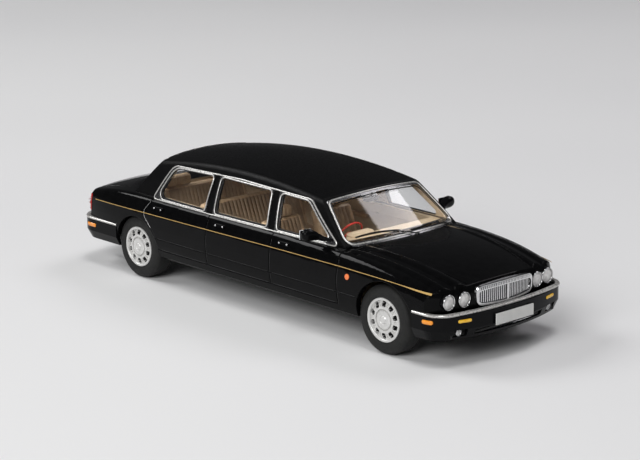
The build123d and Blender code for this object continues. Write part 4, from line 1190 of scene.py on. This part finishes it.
def dash_shelf():
    """The pale shelf between the dash and the windscreen's foot."""
    y = np.linspace(-shelf_half, shelf_half, 34)
    (half, corner_z), middle_z = windscreen_pane[:2]
    foot_z = corner_z + (middle_z - corner_z) * (1 - (y / half) ** 2)
    front_x = front_axle_x + screen_ahead(windscreen_plane, 1, y, foot_z) - shelf_gap
    back_x = np.full(len(y), front_axle_x + shelf_back[0])
    top = foot_z - shelf_drop
    back_z = np.full(len(y), shelf_back[1])
    rows = [(front_x, top - shelf_thickness), (front_x, top)]
    rows += [(back_x, back_z), (back_x, back_z - shelf_thickness)]
    points = np.stack([np.stack([x, y, z], axis=1) for x, z in rows], axis=1)
    return (*grid(points, close_v=True, caps=True), "beige")


def make_steering_wheel():
    """The steering wheel's ring, hub and spokes, and its column."""
    tilt = Matrix.Rotation(math.radians(wheel_tilt), 3, "Y")
    middle = Vector(ahead_place(*wheel_middle))

    def placed(part):
        verts = np.array([tuple(tilt @ Vector(v) + middle) for v in part[0]])
        return (verts, *part[1:])

    turn = np.linspace(0, 2 * np.pi, 12, endpoint=False)
    ring = [(wheel_ring_r + wheel_rim_r * math.cos(a), wheel_rim_r * math.sin(a)) for a in turn]
    parts = [placed(lathe(ring, 64, (0, 0, 0), "Z", "red", True))]
    parts.append(placed(lathe(wheel_hub, 28, (0, 0, 0), "Z", "red", True)))
    for a in spoke_angles:
        spoke = []
        for q in np.linspace(*spoke_span, 6):
            spoke.append((math.sin(a) * q, math.cos(a) * q, spoke_rise * math.cos(q / wheel_ring_r * 1.5)))
        parts.append(placed(rod(spoke, spoke_r, "red", 8)))
    column = [(0, 0, column_top - column_step * k) for k in range(7)]
    parts.append(placed(rod(column, column_r, "black_plastic", 14)))
    piece("steering_wheel_ring", parts, replaces=("steering_wheel",))


def make_door_cards():
    """The door cards' rails, armrests and wooden cappings."""
    trims = []
    for side in (-1, 1):
        for low, high in door_cards:
            middle_x = front_axle_x + (low + high) / 2
            for shift, across, z, length, depth, height, bevel, finish in door_trims:
                if length < 0:
                    length += high - low
                place = (middle_x + shift, side * across, z)
                trims.append(box(place, (length, depth, height), bevel, finish))
    piece("door_cards", trims)


def make_dash_panel():
    """The instrument panel with its blank dials, the wooden rail and the shelf under the windscreen."""
    dash_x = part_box("dashboard")[0][0] / mm
    back, y, z = panel_place
    panel = [box((dash_x + back, y, z), panel_size, 0.08, "dark")]
    for shift in dial_shifts:
        panel.append(lathe(dial, 24, (dash_x + dial_back, y + shift, dial_z), "X", "plate"))
    back, y, z = rail_place
    panel.append(box((dash_x + back, y, z), rail_size, 0.12, "wood"))
    panel.append(dash_shelf())
    piece("dash_panel", panel)


def make_inside_mirror():
    """An oval inside mirror on a short stem."""
    low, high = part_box("interior_mirror")
    middle_x = (low[0] + high[0]) / 2 / mm
    half_width, half_height = oval_half
    a = np.linspace(0, 2 * np.pi, mirror_columns, endpoint=False)
    rows = []
    for along, size in oval_rows:
        x = np.full(mirror_columns, middle_x + along)
        y = half_width * size * squared(np.cos(a), oval_power)
        rows.append(np.stack([x, y, oval_z + half_height * size * np.sin(a)], axis=1))
    (foot_x, foot_z), (step_x, step_z) = stem_foot, stem_step
    path = [(middle_x + foot_x + step_x * k, 0.0, foot_z + step_z * k) for k in range(6)]
    stem = rod(path, stem_r, "black_plastic", 8)
    piece("inside_mirror", [(*grid(rows, close_v=True, caps=True), "black_plastic"), stem],
          replaces=("interior_mirror",))

# Seats: middles and widths across, the cushion's front, its underside and top, the backrest's foot and head,
# its top, the headrests' places, width and top, and the node's name
seat_rows = [
    ([(-8.0, 11.5), (8.0, 11.5)], -31.5, (8.1, 12.6), (-41.5, -45.5), 20.4, ([0], 6.2, 23.2), "front_seats"),
    ([(0.0, 30.5)], -52.0, (8.1, 12.6), (-62.0, -66.0), 21.3, ([], 0, 0), "middle_bench"),
    ([(0.0, 25.6)], -72.0, (11.5, 14.0), (-81.4, -84.4), 21.6, ([-8.0, 8.0], 8.0, 24.4), "rear_bench"),
]
back_thickness = 3.4
back_head_part = 0.75
back_lap = (0.2, 1.6)
cushion_tuck = (0.5, 0.7)
cushion_radii = [0.9, 0.5, 0.5, 1.1]
back_radii = [0.5, 1.2, 1.0, 0.5]
rest_radii = [0.7, 0.9, 0.9, 0.7]
rest_sides = (0.1, -0.1, -2.2, -2.3)
rest_gap = 0.15
post_shift = 1.2
post_back = 1.1
post_sink = 0.5
post_step = 0.25
post_r = 0.16
pad_end_r = 0.9
pleat_pitch = 1.15
pleat_depth = 0.26
pleat_power = 0.55
pleat_margin = 1.0
pleat_fade = 0.25
pleat_facing = (0.55, 0.3)
seat_step = 0.2


def pad(corners, radii, y_low, y_high, facing, margin, finish):
    """A padded form: a side outline run across the car with rounded ends and pleating on the side it faces.
    Faces deep in the pleating take the finish given, which for the seats is a darker leather that paints
    their shade.
    """
    outline = rounded(corners, radii, 0.5)
    inward = outline - offset(outline, 1.0)
    normal = -inward
    ys = np.linspace(y_low, y_high, int((y_high - y_low) / seat_step) + 1)
    gap = np.minimum(ys - y_low, y_high - ys)
    past = np.maximum(pad_end_r - gap, 0)
    shrink = pad_end_r - np.sqrt(np.maximum(pad_end_r**2 - past**2, 0))
    panel = np.clip((gap - margin) / pleat_fade, 0, 1)
    span = y_high - y_low - 2 * margin
    turns = max(1, round(span / pleat_pitch))
    phase = (ys - y_low - margin) / span * turns * np.pi
    ripple = (np.abs(np.sin(phase)) ** pleat_power - 1) * panel
    least, slope = pleat_facing
    toward = np.clip((normal @ unit(np.array(facing)) - least) / slope, 0, 1)
    toward = np.minimum(toward, soften(toward[:, None], 2, True)[:, 0] * 1.4)
    moved = outline[None] + inward[None] * shrink[:, None, None]
    moved = moved + normal[None] * (ripple[:, None] * toward[None] * pleat_depth)[..., None]
    across = np.broadcast_to(ys[:, None], moved.shape[:2])
    points = np.stack([front_axle_x + moved[..., 0], across, moved[..., 1]], -1)
    verts, faces = grid(points, close_v=True, caps=True)
    columns = len(outline)
    ripples = panel[:, None] * toward[None]
    deep = (ripples > 0.5).reshape(-1)
    pleated = [f for f in faces if len(f) == 4 and all(deep[i] for i in f)]
    chosen = set(pleated)
    rest = [f for f in faces if f not in chosen]
    return [(verts, rest, "tan"), (verts, pleated, finish)]


def make_seats():
    """The front seats and the two benches, with their headrests."""
    for places, front, (base_z, top_z), (foot, head), back_z, (rests, rest_width, rest_z), name in seat_rows:
        thick = back_thickness
        heel = foot - cushion_tuck[0]
        cushion = [(front, base_z), (heel, base_z), (heel, top_z - cushion_tuck[1]), (front, top_z)]
        back = [(foot + back_lap[0], top_z - back_lap[1]), (head, back_z),
                (head - thick * back_head_part, back_z), (foot - thick, base_z)]
        parts = []
        for middle, width in places:
            y_low, y_high = middle - width / 2, middle + width / 2
            # The pleated faces of the cushion and the backrest take the darker leather, a painted shade
            parts += pad(cushion, cushion_radii, y_low, y_high, (0.0, 1.0), pleat_margin, "pleat_shade")
            parts += pad(back, back_radii, y_low, y_high, (1.0, 0.2), pleat_margin, "pleat_shade")
            for shift in rests:
                mid = middle + shift
                heights = (back_z + rest_gap, rest_z, rest_z, back_z + rest_gap)
                rest = [(head + side, z) for side, z in zip(rest_sides, heights)]
                low, high = mid - rest_width / 2, mid + rest_width / 2
                parts += pad(rest, rest_radii, low, high, (1.0, 0.0), pad_end_r, "tan")
                for y in (mid - post_shift, mid + post_shift):
                    x = front_axle_x + head - post_back
                    post = [(x, y, back_z - post_sink + post_step * k) for k in range(5)]
                    parts.append(rod(post, post_r, "chrome"))
        piece(name.replace("seats", "seat") + "_trim", parts, replaces=(name,))


make_camera()
make_light()
materials = make_materials()
make_floor()
finish_nodes()
make_wheels()
make_trim()
make_lamps()
make_grille_flutes()
make_ridge_highlights()
make_plate_borders()
make_handle_ends()
make_bumper_inserts()
make_markers()
make_seats()
make_mirrors()
make_wipers()
make_steering_wheel()
make_door_cards()
make_dash_panel()
make_inside_mirror()
